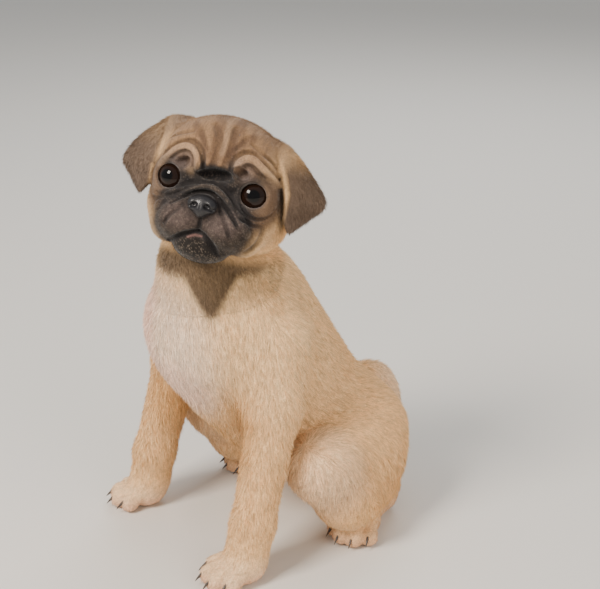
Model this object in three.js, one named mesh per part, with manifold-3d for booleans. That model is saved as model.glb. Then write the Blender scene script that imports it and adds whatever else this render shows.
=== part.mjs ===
// A pug puppy, about three months old, sitting on the floor: a still, life-size model.
//
// Units are millimetres. +Z is up, the puppy's body faces -Y and its left side is +X. The origin lies on
// the floor, in the middle of the puppy's footprint.
//
// The flesh is worked like clay. Rounded lumps with named centres and radii melt into one smooth body,
// creases are pressed into it, and the surface is drawn over the result. The body is then parted with
// thin cuts into torso, neck, legs and paws. The head is worked in its own upright frame and then turned
// and tilted as the puppy holds it.
import * as THREE from "three";
import { mergeVertices } from "three/addons/utils/BufferGeometryUtils.js";
import Module from "manifold-3d";

const wasm = await Module();
wasm.setup();

// Driving dimensions
const GAP = 0.35; // clear space between two parts that touch
const FOOTPRINT_SHIFT = { x: 0.8, y: 31.4 }; // moves the sculpted puppy so that its footprint is centred

const HEAD = {
  centre: [23, -92.5, 255.4], // middle of the skull
  yaw: 42, // degrees, turned to the puppy's left
  pitch: -15, // lifted towards someone standing
  roll: 8.5, // tilted to one side
};
const SKULL = { width: 84, depth: 78, height: 67 };
const EYE = { radius: 11.2, spacing: 48.6, forward: 17.2, height: 0.9, opening: 8.2, splay: 15 };
const EAR = { thickness: 2.6 };
const NOSE = { width: 16.5, height: 12.5, forward: 41, drop: 10.2 };
const CHEST_HALF_WIDTH = 48;
const STANCE_HALF_WIDTH = 60; // middle of each forepaw from the midline
const FORELEG_RADIUS = 14;
const TAIL_RADIUS = 9.5;

const radians = THREE.MathUtils.degToRad;

// Turning about z, then x, then y, as a list of nine numbers by rows.
function turning(yaw, pitch, roll) {
  const euler = new THREE.Euler(radians(pitch), radians(roll), radians(yaw), "ZXY");
  const e = new THREE.Matrix4().makeRotationFromEuler(euler).elements;
  return [e[0], e[4], e[8], e[1], e[5], e[9], e[2], e[6], e[10]];
}

// Clay: lumps that melt together and tools that press into them, each with its own softness.
class Clay {
  constructor(swell = 0) {
    this.pieces = [];
    this.swell = swell; // how far the surface stands out from the lumps
  }

  work(distance, low, high, softness, sign) {
    this.pieces.push({ distance, low, high, softness, sign });
    return this;
  }

  // An egg shape with three radii, turned by yaw, pitch and roll in degrees.
  egg(centre, radii, softness = 8, turn = [0, 0, 0], sign = 1) {
    const [cx, cy, cz] = centre;
    const [rx, ry, rz] = radii;
    const m = turning(...turn);
    const reach = Math.max(...radii);
    const distance = (x, y, z) => {
      const dx = x - cx;
      const dy = y - cy;
      const dz = z - cz;
      const u = (m[0] * dx + m[3] * dy + m[6] * dz) / rx;
      const v = (m[1] * dx + m[4] * dy + m[7] * dz) / ry;
      const w = (m[2] * dx + m[5] * dy + m[8] * dz) / rz;
      const near = Math.hypot(u, v, w);
      const slope = Math.hypot(u / rx, v / ry, w / rz);
      return slope < 1e-9 ? -Math.min(rx, ry, rz) : (near * (near - 1)) / slope;
    };
    return this.work(distance, centre.map((c) => c - reach), centre.map((c) => c + reach), softness, sign);
  }

  // A rounded limb between two points, with a radius at each end.
  limb(from, to, radiusFrom, radiusTo, softness = 8, sign = 1) {
    const [ax, ay, az] = from;
    const [bx, by, bz] = to.map((b, i) => b - from[i]);
    const lengthSquared = bx * bx + by * by + bz * bz;
    const distance = (x, y, z) => {
      const dx = x - ax;
      const dy = y - ay;
      const dz = z - az;
      const t = Math.min(1, Math.max(0, (dx * bx + dy * by + dz * bz) / lengthSquared));
      const away = Math.hypot(dx - t * bx, dy - t * by, dz - t * bz);
      return away - (radiusFrom + t * (radiusTo - radiusFrom));
    };
    const reach = Math.max(radiusFrom, radiusTo);
    const low = from.map((c, i) => Math.min(c, to[i]) - reach);
    const high = from.map((c, i) => Math.max(c, to[i]) + reach);
    return this.work(distance, low, high, softness, sign);
  }

  // A tube along a smooth curve through a few points, added as a fold or pressed in as a crease.
  cord(points, radiusAt, softness = 2, sign = 1, steps = 14) {
    const curve = new THREE.CatmullRomCurve3(points.map((p) => new THREE.Vector3(...p)));
    const along = curve.getPoints(steps);
    const radii = along.map((_, i) => radiusAt(i / steps));
    const distance = (x, y, z) => {
      let best = Infinity;
      for (let i = 0; i < steps; i++) {
        const a = along[i];
        const b = along[i + 1];
        const ux = b.x - a.x;
        const uy = b.y - a.y;
        const uz = b.z - a.z;
        const dx = x - a.x;
        const dy = y - a.y;
        const dz = z - a.z;
        const t = Math.min(1, Math.max(0, (dx * ux + dy * uy + dz * uz) / (ux * ux + uy * uy + uz * uz)));
        const away = Math.hypot(dx - t * ux, dy - t * uy, dz - t * uz) - radii[i] - t * (radii[i + 1] - radii[i]);
        if (away < best) best = away;
      }
      return best;
    };
    const reach = Math.max(...radii);
    const box = new THREE.Box3().setFromPoints(along).expandByScalar(reach);
    return this.work(distance, box.min.toArray(), box.max.toArray(), softness, sign);
  }

  // The point of the surface that shows at x and z from the front, moved inward by a depth.
  seenFromFront([x, z], inward = 0) {
    let y = -75;
    for (let step = 0; step < 60 && y < 20; step++) {
      const away = this.at(x, y, z);
      if (away < 0.02) break;
      y += Math.max(0.02, 0.7 * Math.min(away, 12));
    }
    return [x, y + inward, z];
  }

  // A crease pressed along marks given as x and z from the front, shallow at its ends.
  crease(marks, radius, depth = -0.4, softness = 2) {
    const points = marks.map((mark) => this.seenFromFront(mark, depth));
    return this.cord(points, (t) => radius * (0.75 + 0.25 * Math.sin(Math.PI * t)), softness, -1, 12);
  }

  // A fold of skin raised along marks given as x and z from the front, thinner at its ends.
  fold(marks, radius, inward, softness = 2.5) {
    const points = marks.map((mark) => this.seenFromFront(mark, inward));
    return this.cord(points, (t) => radius * (0.6 + 0.4 * Math.sin(Math.PI * t)), softness, 1, 12);
  }

  // The same limb, egg or cord on both sides of the midline: place is called with +1 and -1.
  bothSides(place) {
    place(1);
    place(-1);
    return this;
  }

  // Signed distance to the surface, near it: negative inside the clay.
  at(x, y, z) {
    let d = FAR;
    for (const p of this.pieces) {
      if (outside(p, x, y, z)) continue;
      d = melt(d, p.distance(x, y, z), p.softness, p.sign);
    }
    return d - this.swell;
  }

  bounds() {
    const box = new THREE.Box3();
    for (const p of this.pieces) {
      if (p.sign < 0) continue;
      box.expandByPoint(new THREE.Vector3(...p.low));
      box.expandByPoint(new THREE.Vector3(...p.high));
    }
    return box.expandByScalar(this.swell);
  }
}

const FAR = 40;
const MARGIN = 14; // how far past its own box a lump still counts

function outside(p, x, y, z) {
  return (
    x < p.low[0] - MARGIN || x > p.high[0] + MARGIN ||
    y < p.low[1] - MARGIN || y > p.high[1] + MARGIN ||
    z < p.low[2] - MARGIN || z > p.high[2] + MARGIN
  );
}

// A smooth union for sign +1 and a smooth cut for sign -1.
function melt(a, b, softness, sign) {
  if (sign > 0) {
    const h = Math.max(softness - Math.abs(a - b), 0) / softness;
    return Math.min(a, b) - (h * h * softness) / 4;
  }
  const h = Math.max(softness - Math.abs(a + b), 0) / softness;
  return Math.max(a, -b) + (h * h * softness) / 4;
}

// Whether the corners of a cell that lie inside, or those outside, fall into two groups that only touch.
const PINCHED = Array.from({ length: 256 }, (_, mask) => [mask, 255 - mask].some((set) => {
  const first = [0, 1, 2, 3, 4, 5, 6, 7].find((c) => (set >> c) & 1);
  if (first === undefined) return false;
  let seen = 1 << first;
  for (let pass = 0; pass < 8; pass++) {
    for (let c = 0; c < 8; c++) {
      if ((seen >> c) & 1) for (const bit of [1, 2, 4]) seen |= set & (1 << (c ^ bit));
    }
  }
  return seen !== set;
}));

// Opens or closes every pinched cell at its weakest corner, so that the surface never touches itself.
function partPinches(field, nx, ny, nz) {
  const corner = (c) => (c & 1) + (c & 2 ? nx : 0) + (c & 4 ? nx * ny : 0);
  const offsets = [0, 1, 2, 3, 4, 5, 6, 7].map(corner);
  for (let pass = 0, found = true; found && pass < 30; pass++) {
    found = false;
    for (let k = 0; k < nz - 1; k++) {
      for (let j = 0; j < ny - 1; j++) {
        for (let i = 0; i < nx - 1; i++) {
          const n = (k * ny + j) * nx + i;
          let mask = 0;
          for (let c = 0; c < 8; c++) if (field[n + offsets[c]] < 0) mask |= 1 << c;
          if (!PINCHED[mask]) continue;
          found = true;
          let weakest = n;
          for (const o of offsets) {
            if (Math.abs(field[n + o]) < Math.abs(field[weakest])) weakest = n + o;
          }
          field[weakest] = field[weakest] < 0 ? 1 : -1;
        }
      }
    }
  }
}

// Draws the surface of the clay over a grid of cells, one point in each cell that the surface crosses.
function drawSurface(clay, cell, floor = null) {
  const box = clay.bounds().expandByScalar(2.5 * cell);
  const low = box.min;
  const size = box.getSize(new THREE.Vector3());
  const nx = Math.ceil(size.x / cell) + 1;
  const ny = Math.ceil(size.y / cell) + 1;
  const nz = Math.ceil(size.z / cell) + 1;
  const field = new Float32Array(nx * ny * nz).fill(FAR);
  for (const p of clay.pieces) {
    const from = p.low.map((c, i) => Math.max(0, Math.floor((c - MARGIN - low.getComponent(i)) / cell)));
    const to = p.high.map((c, i) => Math.ceil((c + MARGIN - low.getComponent(i)) / cell));
    for (let k = from[2]; k <= Math.min(nz - 1, to[2]); k++) {
      for (let j = from[1]; j <= Math.min(ny - 1, to[1]); j++) {
        for (let i = from[0]; i <= Math.min(nx - 1, to[0]); i++) {
          const x = low.x + i * cell;
          const y = low.y + j * cell;
          const z = low.z + k * cell;
          if (outside(p, x, y, z)) continue;
          const n = (k * ny + j) * nx + i;
          field[n] = melt(field[n], p.distance(x, y, z), p.softness, p.sign);
        }
      }
    }
  }
  for (let n = 0; n < field.length; n++) field[n] -= clay.swell;
  const STEP = [1, nx, nx * ny];
  partPinches(field, nx, ny, nz);
  const vertexOf = new Map();
  const points = [];
  const corners = [0, 1, nx, nx + 1, nx * ny, nx * ny + 1, nx * ny + nx, nx * ny + nx + 1];
  for (let k = 0; k < nz - 1; k++) {
    for (let j = 0; j < ny - 1; j++) {
      for (let i = 0; i < nx - 1; i++) {
        const n = (k * ny + j) * nx + i;
        let inside = 0;
        for (const c of corners) inside += field[n + c] < 0 ? 1 : 0;
        if (inside === 0 || inside === 8) continue;
        let x = low.x + (i + 0.5) * cell;
        let y = low.y + (j + 0.5) * cell;
        let z = low.z + (k + 0.5) * cell;
        const homeX = x;
        const homeY = y;
        const homeZ = z;
        for (let round = 0; round < 5; round++) {
          const d = clay.at(x, y, z);
          const h = 0.2;
          const gx = (clay.at(x + h, y, z) - clay.at(x - h, y, z)) / (2 * h);
          const gy = (clay.at(x, y + h, z) - clay.at(x, y - h, z)) / (2 * h);
          const gz = (clay.at(x, y, z + h) - clay.at(x, y, z - h)) / (2 * h);
          const g = Math.max(0.2, gx * gx + gy * gy + gz * gz);
          x -= (d * gx) / g;
          y -= (d * gy) / g;
          z -= (d * gz) / g;
        }
        const reach = 0.75 * cell; // a point stays near its own cell, so that faces don't cross
        x = Math.min(homeX + reach, Math.max(homeX - reach, x));
        y = Math.min(homeY + reach, Math.max(homeY - reach, y));
        z = Math.min(homeZ + reach, Math.max(homeZ - reach, z));
        vertexOf.set(n, points.length / 3);
        points.push(x, y, z);
      }
    }
  }
  const faces = [];
  const quad = (a, b, c, d, flip) => {
    const q = [a, b, c, d].map((n) => vertexOf.get(n));
    if (flip) q.reverse();
    faces.push(q[0], q[1], q[2], q[0], q[2], q[3]);
  };
  for (let k = 1; k < nz - 1; k++) {
    for (let j = 1; j < ny - 1; j++) {
      for (let i = 1; i < nx - 1; i++) {
        const n = (k * ny + j) * nx + i;
        const here = field[n] < 0;
        for (let axis = 0; axis < 3; axis++) {
          if (here === field[n + STEP[axis]] < 0) continue;
          const u = STEP[(axis + 1) % 3];
          const v = STEP[(axis + 2) % 3];
          quad(n - u - v, n - v, n, n - u, !here);
        }
      }
    }
  }
  if (floor !== null) settleOn(floor, points);
  return { points, faces };
}

// Presses everything near the floor flat on it.
function settleOn(floor, points) {
  for (let i = 2; i < points.length; i += 3) {
    if (points[i] < floor + 0.5) points[i] = floor;
  }
}

// Thins a closed mesh to a number of faces, joining first the points whose loss changes the shape least. It
// stops early where the next loss would change the shape by more than the limit.
function thin({ points, faces }, wanted, limit = Infinity) {
  const count = points.length / 3;
  const quadric = Array.from({ length: count }, () => new Float64Array(10));
  const around = Array.from({ length: count }, () => new Set());
  const live = new Uint8Array(faces.length / 3).fill(1);
  const version = new Uint32Array(count);
  const at = (i) => new THREE.Vector3(points[3 * i], points[3 * i + 1], points[3 * i + 2]);
  for (let f = 0; f < live.length; f++) {
    const [a, b, c] = [faces[3 * f], faces[3 * f + 1], faces[3 * f + 2]];
    const normal = at(b).sub(at(a)).cross(at(c).sub(at(a)));
    const area = normal.length();
    normal.normalize();
    const { x, y, z } = normal;
    const w = -normal.dot(at(a));
    const q = [x * x, x * y, x * z, x * w, y * y, y * z, y * w, z * z, z * w, w * w];
    for (const v of [a, b, c]) {
      around[v].add(f);
      q.forEach((value, i) => (quadric[v][i] += value * area));
    }
  }
  const cost = (q, x, y, z) =>
    q[0] * x * x + 2 * q[1] * x * y + 2 * q[2] * x * z + 2 * q[3] * x + q[4] * y * y +
    2 * q[5] * y * z + 2 * q[6] * y + q[7] * z * z + 2 * q[8] * z + q[9];
  const heap = [];
  const push = (entry) => {
    let i = heap.push(entry) - 1;
    while (i > 0) {
      const up = (i - 1) >> 1;
      if (heap[up].cost <= heap[i].cost) break;
      [heap[up], heap[i]] = [heap[i], heap[up]];
      i = up;
    }
  };
  const pop = () => {
    const top = heap[0];
    const last = heap.pop();
    if (heap.length) {
      heap[0] = last;
      let i = 0;
      for (;;) {
        const l = 2 * i + 1;
        const r = l + 1;
        let best = i;
        if (l < heap.length && heap[l].cost < heap[best].cost) best = l;
        if (r < heap.length && heap[r].cost < heap[best].cost) best = r;
        if (best === i) break;
        [heap[best], heap[i]] = [heap[i], heap[best]];
        i = best;
      }
    }
    return top;
  };
  const consider = (a, b) => {
    const q = quadric[a].map((value, i) => value + quadric[b][i]);
    const middle = at(a).add(at(b)).multiplyScalar(0.5);
    const length = at(a).distanceTo(at(b));
    let best = null;
    const options = [at(a), at(b), middle];
    const matrix = new THREE.Matrix3().set(q[0], q[1], q[2], q[1], q[4], q[5], q[2], q[5], q[7]);
    if (Math.abs(matrix.determinant()) > 1e-3) {
      const exact = new THREE.Vector3(-q[3], -q[6], -q[8]).applyMatrix3(matrix.invert());
      if (exact.distanceTo(middle) < 2 * length) options.push(exact);
    }
    for (const p of options) {
      const c = cost(q, p.x, p.y, p.z) + 1e-4 * length * length;
      if (!best || c < best.cost) best = { cost: c, place: p };
    }
    push({ ...best, a, b, stamp: version[a] + version[b] });
  };
  const neighbours = (v) => {
    const found = new Set();
    for (const f of around[v]) {
      for (let i = 0; i < 3; i++) found.add(faces[3 * f + i]);
    }
    found.delete(v);
    return found;
  };
  for (let v = 0; v < count; v++) {
    for (const n of neighbours(v)) if (n > v) consider(v, n);
  }
  const turnsOver = (v, other, place) => {
    for (const f of around[v]) {
      const corner = [faces[3 * f], faces[3 * f + 1], faces[3 * f + 2]];
      if (corner.includes(other)) continue;
      const before = corner.map(at);
      const after = corner.map((c, i) => (c === v ? place : before[i]));
      const n0 = before[1].clone().sub(before[0]).cross(before[2].clone().sub(before[0]));
      const n1 = after[1].clone().sub(after[0]).cross(after[2].clone().sub(after[0]));
      if (n0.length() < SLIVER) continue;
      if (n1.length() < SLIVER || n1.normalize().dot(n0.normalize()) < 0.35) return true;
    }
    return false;
  };
  let left = live.length;
  while (left > wanted && heap.length) {
    const { a, b, place, stamp, cost: loss } = pop();
    if (loss > limit) break;
    if (stamp !== version[a] + version[b] || !around[a].size || !around[b].size) continue;
    const nearA = neighbours(a);
    if (!nearA.has(b)) continue;
    const shared = [...neighbours(b)].filter((n) => nearA.has(n));
    if (shared.length !== 2) continue;
    if (turnsOver(a, b, place) || turnsOver(b, a, place)) continue;
    points[3 * a] = place.x;
    points[3 * a + 1] = place.y;
    points[3 * a + 2] = place.z;
    quadric[b].forEach((value, i) => (quadric[a][i] += value));
    for (const f of around[b]) {
      const corner = [faces[3 * f], faces[3 * f + 1], faces[3 * f + 2]];
      if (corner.includes(a)) {
        live[f] = 0;
        left--;
        for (const c of corner) around[c].delete(f);
      } else {
        for (let i = 0; i < 3; i++) if (faces[3 * f + i] === b) faces[3 * f + i] = a;
        around[a].add(f);
      }
    }
    around[b].clear();
    version[a] += 1;
    version[b] += 1;
    for (const n of neighbours(a)) {
      version[n] += 1;
    }
    for (const n of neighbours(a)) {
      for (const m of neighbours(n)) if (m !== a) consider(n, m);
      consider(a, n);
    }
  }
  const kept = [];
  for (let f = 0; f < live.length; f++) if (live[f]) kept.push(faces[3 * f], faces[3 * f + 1], faces[3 * f + 2]);
  return { points, faces: kept };
}

const SLIVER = 1e-3; // a face under this many square millimetres has no reliable direction

function geometryOf({ points, faces }) {
  const geometry = new THREE.BufferGeometry();
  geometry.setAttribute("position", new THREE.BufferAttribute(new Float32Array(points), 3));
  geometry.setIndex(faces);
  return geometry;
}

// A three.js geometry as a solid that can be cut and joined.
function solidOf(geometry) {
  const bare = geometry.clone();
  bare.deleteAttribute("normal");
  bare.deleteAttribute("uv");
  const merged = mergeVertices(bare, 1e-4);
  return new wasm.Manifold(
    new wasm.Mesh({
      numProp: 3,
      vertProperties: new Float32Array(merged.attributes.position.array),
      triVerts: new Uint32Array(merged.index.array),
    }),
  );
}

function geometryOfSolid(solid) {
  const mesh = solid.getMesh();
  const geometry = new THREE.BufferGeometry();
  const stride = mesh.numProp;
  const points = new Float32Array(mesh.numVert * 3);
  for (let i = 0; i < mesh.numVert; i++) {
    points.set(mesh.vertProperties.subarray(i * stride, i * stride + 3), i * 3);
  }
  geometry.setAttribute("position", new THREE.BufferAttribute(points, 3));
  geometry.setIndex(new THREE.BufferAttribute(new Uint32Array(mesh.triVerts), 1));
  return geometry;
}

// The largest closed body of a solid, so that a cut leaves no loose scrap.
function largest(solid) {
  return solid.decompose().sort((a, b) => b.volume() - a.volume())[0];
}

// The same solid with its surface moved out by a distance, for cutting a neighbour clear of it.
function grown(solid, by) {
  const geometry = geometryOfSolid(solid);
  geometry.computeVertexNormals();
  const place = geometry.attributes.position;
  const normal = geometry.attributes.normal;
  for (let i = 0; i < place.count; i++) {
    place.setXYZ(
      i,
      place.getX(i) + by * normal.getX(i),
      place.getY(i) + by * normal.getY(i),
      place.getZ(i) + by * normal.getZ(i),
    );
  }
  return solidOf(geometry);
}

// A cut leaves slivers along its edge. This joins their points and keeps the shape to a hundredth.
function tidied(solid) {
  const geometry = geometryOfSolid(solid);
  const points = Array.from(geometry.attributes.position.array);
  const faces = Array.from(geometry.index.array);
  return largest(solidOf(geometryOf(thin({ points, faces }, 0, 0.0015))));
}

function sculpted(clay, cell, wanted, floor = null) {
  const surface = thin(drawSurface(clay, cell, floor), wanted);
  if (floor !== null) settleOn(floor, surface.points);
  return largest(solidOf(geometryOf(surface)));
}

// A wide plate as thin as the gap, square to a direction, that parts a limb in two.
function plate(point, direction, radius) {
  const geometry = new THREE.CylinderGeometry(radius, radius, GAP, 24);
  const turn = new THREE.Quaternion().setFromUnitVectors(
    new THREE.Vector3(0, 1, 0),
    new THREE.Vector3(...direction).normalize(),
  );
  geometry.applyQuaternion(turn);
  geometry.translate(...point);
  return solidOf(geometry);
}

// Parts a solid along a plate and returns its two largest pieces, the one further along the direction first.
function parted(solid, point, direction, radius) {
  const way = new THREE.Vector3(...direction).normalize();
  const pieces = solid
    .subtract(plate(point, direction, radius))
    .decompose()
    .sort((a, b) => b.volume() - a.volume())
    .slice(0, 2);
  const along = (piece) => {
    const { min, max } = piece.boundingBox();
    return new THREE.Vector3((min[0] + max[0]) / 2, (min[1] + max[1]) / 2, (min[2] + max[2]) / 2).dot(way);
  };
  return pieces.sort((a, b) => along(b) - along(a));
}

// Body clay: trunk, neck, legs and paws, in the body's own frame with the midline at x = 0
const FLOOR = 0;
const SPINE_LEAN = 29; // degrees the trunk leans back from upright

function trunk(clay) {
  clay.egg([0, -64, 130], [CHEST_HALF_WIDTH, 49, 74], 12, [0, SPINE_LEAN, 0]); // rib cage
  clay.egg([-2, -99, 152], [38, 29, 40], 16, [0, 12, 0]); // breast
  clay.limb([0, -50, 149], [0, 2, 68], 41.5, 40.5, 14); // back
  clay.egg([0, -30, 84], [45, 44, 50], 16, [0, SPINE_LEAN, 0]); // belly
  clay.egg([0, 12, 52], [45, 42, 52], 16, [0, 24, 0]); // loins and pelvis
  clay.bothSides((s) => {
    clay.egg([s * 37, -72, 148], [19, 29, 42], 14, [0, 14, 0]); // shoulder blade
    clay.egg([s * 21, 16, 21], [21, 24, 22], 12); // rump on the floor
  });
}

function neckAndThroat(clay) {
  clay.limb([0, -69, 178], [12, -90, 226], 39, 28.5, 20);
  clay.egg([6, -98, 200], [30, 24, 30], 16);
}

// The four feet: where each toe stands, from the middle of the paw. Toes point forward, turned by heading.
const TOES = [
  { across: -13.5, ahead: 13, radius: 6.2 },
  { across: -4.8, ahead: 19.5, radius: 6.8 },
  { across: 4.8, ahead: 19.5, radius: 6.8 },
  { across: 13.5, ahead: 13, radius: 6.2 },
];
const CLAW = { length: 9, radius: 1.9 };

function toePlace(paw, toe) {
  const turn = radians(paw.heading);
  const across = toe.across * paw.size;
  const ahead = toe.ahead * paw.size;
  return [
    paw.at[0] + across * Math.cos(turn) + ahead * Math.sin(turn),
    paw.at[1] + across * Math.sin(turn) - ahead * Math.cos(turn),
  ];
}

function pawClay(clay, paw) {
  const [x, y] = paw.at;
  clay.egg([x, y, 9], [14.5 * paw.size, 14 * paw.size, 10], 7, [paw.heading, 0, 0]);
  for (const toe of TOES) {
    const [tx, ty] = toePlace(paw, toe);
    const root = toePlace(paw, { across: toe.across * 0.72, ahead: toe.ahead * 0.3 });
    clay.limb([root[0], root[1], 12], [tx, ty, 7.2], toe.radius * 0.95, toe.radius, 2.2);
    clay.egg([tx, ty, 4.5], [toe.radius * 0.92, toe.radius * 1.02, 4.8], 2.2, [paw.heading, 0, 0]);
  }
}

const FORELEGS = [
  {
    name: "left",
    side: 1,
    shoulder: [44, -66, 150],
    elbow: [52, -74, 112],
    wrist: [STANCE_HALF_WIDTH, -98, 36],
    pastern: [STANCE_HALF_WIDTH, -103, 18],
    paw: { at: [STANCE_HALF_WIDTH, -107], heading: -10, size: 1.06 },
  },
  {
    name: "right",
    side: -1,
    shoulder: [-44, -66, 150],
    elbow: [-54, -79, 112],
    wrist: [-STANCE_HALF_WIDTH - 2, -97, 40],
    pastern: [-STANCE_HALF_WIDTH - 4, -100, 20],
    paw: { at: [-STANCE_HALF_WIDTH - 6, -103], heading: -28, size: 0.96 },
  },
];

function forelegClay(clay, leg) {
  clay.limb(leg.shoulder, leg.elbow, 22, 17.5, 14);
  clay.limb(leg.elbow, leg.wrist, 17, FORELEG_RADIUS, 10);
  clay.limb(leg.wrist, leg.pastern, FORELEG_RADIUS, FORELEG_RADIUS - 0.5, 8);
  clay.limb(leg.pastern, [leg.paw.at[0], leg.paw.at[1] - 2, 11], FORELEG_RADIUS - 1, 11, 8);
  pawClay(clay, leg.paw);
}

const HINDLEGS = [
  {
    name: "left",
    side: 1,
    hip: [32, 14, 62],
    knee: [62, -44, 62],
    shin: [64, -22, 34],
    hock: [44, 25, 19],
    heel: [43, 27, 9],
    paw: { at: [61, -8], heading: 24, size: 0.96 },
  },
  {
    name: "right",
    side: -1,
    hip: [-32, 14, 62],
    knee: [-62, -44, 62],
    shin: [-64, -22, 34],
    hock: [-44, 25, 19],
    heel: [-43, 27, 9],
    paw: { at: [-61, -8], heading: -24, size: 0.96 },
  },
];

function hindlegClay(clay, leg) {
  clay.limb(leg.hip, leg.knee, 34, 21, 16);
  clay.limb(leg.knee, leg.shin, 21, 22, 10);
  clay.limb(leg.shin, leg.hock, 21, 13, 10);
  clay.egg([leg.side * 52, 0, 44], [23, 34, 28], 12, [0, 10, 0]);
  clay.limb(leg.hock, leg.heel, 12, 9, 6);
  clay.limb(leg.heel, [leg.paw.at[0], leg.paw.at[1], 10], 9.5, 9.5, 5);
  pawClay(clay, leg.paw);
}

function bodyClay() {
  const clay = new Clay();
  trunk(clay);
  neckAndThroat(clay);
  FORELEGS.forEach((leg) => forelegClay(clay, leg));
  HINDLEGS.forEach((leg) => hindlegClay(clay, leg));
  return clay;
}

// Tail: a fat curl that lies against the rump
const TAIL_PATH = [
  [0, 28, 80],
  [-2, 44, 84],
  [-3, 60, 78],
  [-2, 70, 60],
  [1, 66, 43],
  [5, 54, 37],
  [9, 46, 46],
  [11, 49, 57],
];

function tailClay() {
  const clay = new Clay();
  const radiusAt = (t) => TAIL_RADIUS * (1.12 - 0.55 * t);
  clay.cord(TAIL_PATH, radiusAt, 3, 1, 26);
  return clay;
}

// Head clay, in the head's own upright frame: the nose points to -y and the middle of the skull is 0, 0, 0
function skullClay(clay) {
  clay.egg([0, 6, 8.5], [SKULL.width / 2, SKULL.depth / 2, SKULL.height / 2], 8);
  clay.egg([0, -9, 17], [32, 25, 24], 12); // forehead
  clay.bothSides((s) => {
    clay.egg([s * 23.5, -2, -14], [19, 27, 22], 10); // cheek
    clay.egg([s * 26.5, 12, -16], [17, 21, 19], 8); // jowl under the ear
    clay.egg([s * 20, -20, 18], [13, 9.5, 8], 6); // brow over the eye
  });
}

function muzzleClay(clay) {
  clay.egg([0, -22, -13], [20, 17.5, 15], 6);
  clay.egg([0, -21, -36], [18, 15.5, 10.5], 5); // chin
  clay.bothSides((s) => {
    clay.egg([s * 13, -25.5, -22], [16.5, 15, 14], 4, [s * -8, 0, s * 8]); // lip cushion
    clay.egg([s * 24, -17, -25], [11.5, 13, 13.5], 5); // corner of the lips
  });
}

// Folds of the face, as x and z seen from the front of the upright head
const ROLL = [
  [-29, -17], [-24.5, -9.5], [-18.5, -4.6], [-11, -1.4], [-4.4, 0.6], [1.8, 1.2],
  [7.6, -1.2], [13.2, -5.6], [18.8, -10.6], [24.3, -16.4], [27.5, -22],
];
const ABOVE_ROLL = [
  [-28.5, -9], [-22.5, -4.4], [-15.6, -0.8], [-6, 2.9], [2.7, 4.1],
  [9.4, 2.2], [15.7, -2.9], [21.7, -9], [28.3, -15.6],
];
const BELOW_ROLL = [
  [-20, -12.7], [-15, -8.6], [-8.2, -4.8], [-2.6, -2.6], [2.9, -2.4],
  [8.1, -4.8], [13.2, -8.9], [18.5, -13.9], [23, -19.2],
];
const BROW_RIGHT = [
  [-33.5, 8], [-29.5, 13.6], [-23.8, 18.4], [-17.9, 21.2], [-13, 20.6],
  [-9.7, 17.8], [-7.9, 13.8], [-7.8, 10.4],
];
const BROW_LEFT = [
  [14.8, 9.6], [14.3, 13.9], [16.3, 18.6], [19.9, 21.4], [24.7, 20.5],
  [30.1, 17.2], [34.3, 13.4], [37.6, 8.4],
];
const OVER_BROW_RIGHT = [
  [-35, 10.4], [-30.2, 16.6], [-24.5, 22], [-18.1, 25], [-12.1, 24.4],
  [-7.4, 20.6], [-5.2, 16.1], [-4.8, 11],
];
const OVER_BROW_LEFT = [
  [12.6, 11], [11.6, 16.3], [13.9, 22], [18.6, 25], [24.2, 24.6],
  [29.6, 21.4], [34.6, 17], [38.4, 11.6],
];
const MOUTH_RIGHT = [[-0.3, -25.9], [-4.6, -27.8], [-8.7, -29.7], [-14, -33], [-20, -36.6]];
const MOUTH_LEFT = [[0.2, -26], [4.3, -28.1], [8, -31.4], [10.9, -34.9], [13, -38.4]];

function foldClay(clay) {
  clay.fold(ROLL.slice(1, -1), 4.4, 2.2, 3);
  clay.egg([3.2, -34.5, 8.2], [11, 8, 4], 3, [0, 0, -6], -1); // the deep hollow between the brows
  clay.crease(ABOVE_ROLL, 1.8);
  clay.crease(BELOW_ROLL, 1.8);
  clay.fold(BROW_RIGHT, 3.2, 1.3);
  clay.fold(BROW_LEFT.slice(0, -1), 3.2, 1.3);
  clay.crease(OVER_BROW_RIGHT.slice(1), 1.8);
  clay.crease(OVER_BROW_LEFT.slice(0, -2), 1.8);
  clay.bothSides((s) => clay.egg([s * 18.4, -33, 12.4], [4.4, 5, 3.4], 2, [0, 0, 0], -1));
}

function mouthClay(clay) {
  clay.crease([[0.6, -15.6], [0.1, -21.8], [-0.3, -26]], 1);
  clay.crease(MOUTH_RIGHT, 1.7);
  clay.crease(MOUTH_LEFT, 1.7);
}

// The cup of each ear lies under its flap
function earCupClay(clay) {
  clay.bothSides((s) => clay.egg([s * 43, 7, 13], [4.5, 6, 8], 2.5, [0, 0, 0], -1));
}

// Where an eye sits and the way it looks, for one side
function eyePlace(side) {
  const splay = radians(EYE.splay) * side;
  return {
    centre: [(side * EYE.spacing) / 2, -EYE.forward, EYE.height - side * 0.8],
    way: [Math.sin(splay), -Math.cos(splay), 0.03],
  };
}

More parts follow.
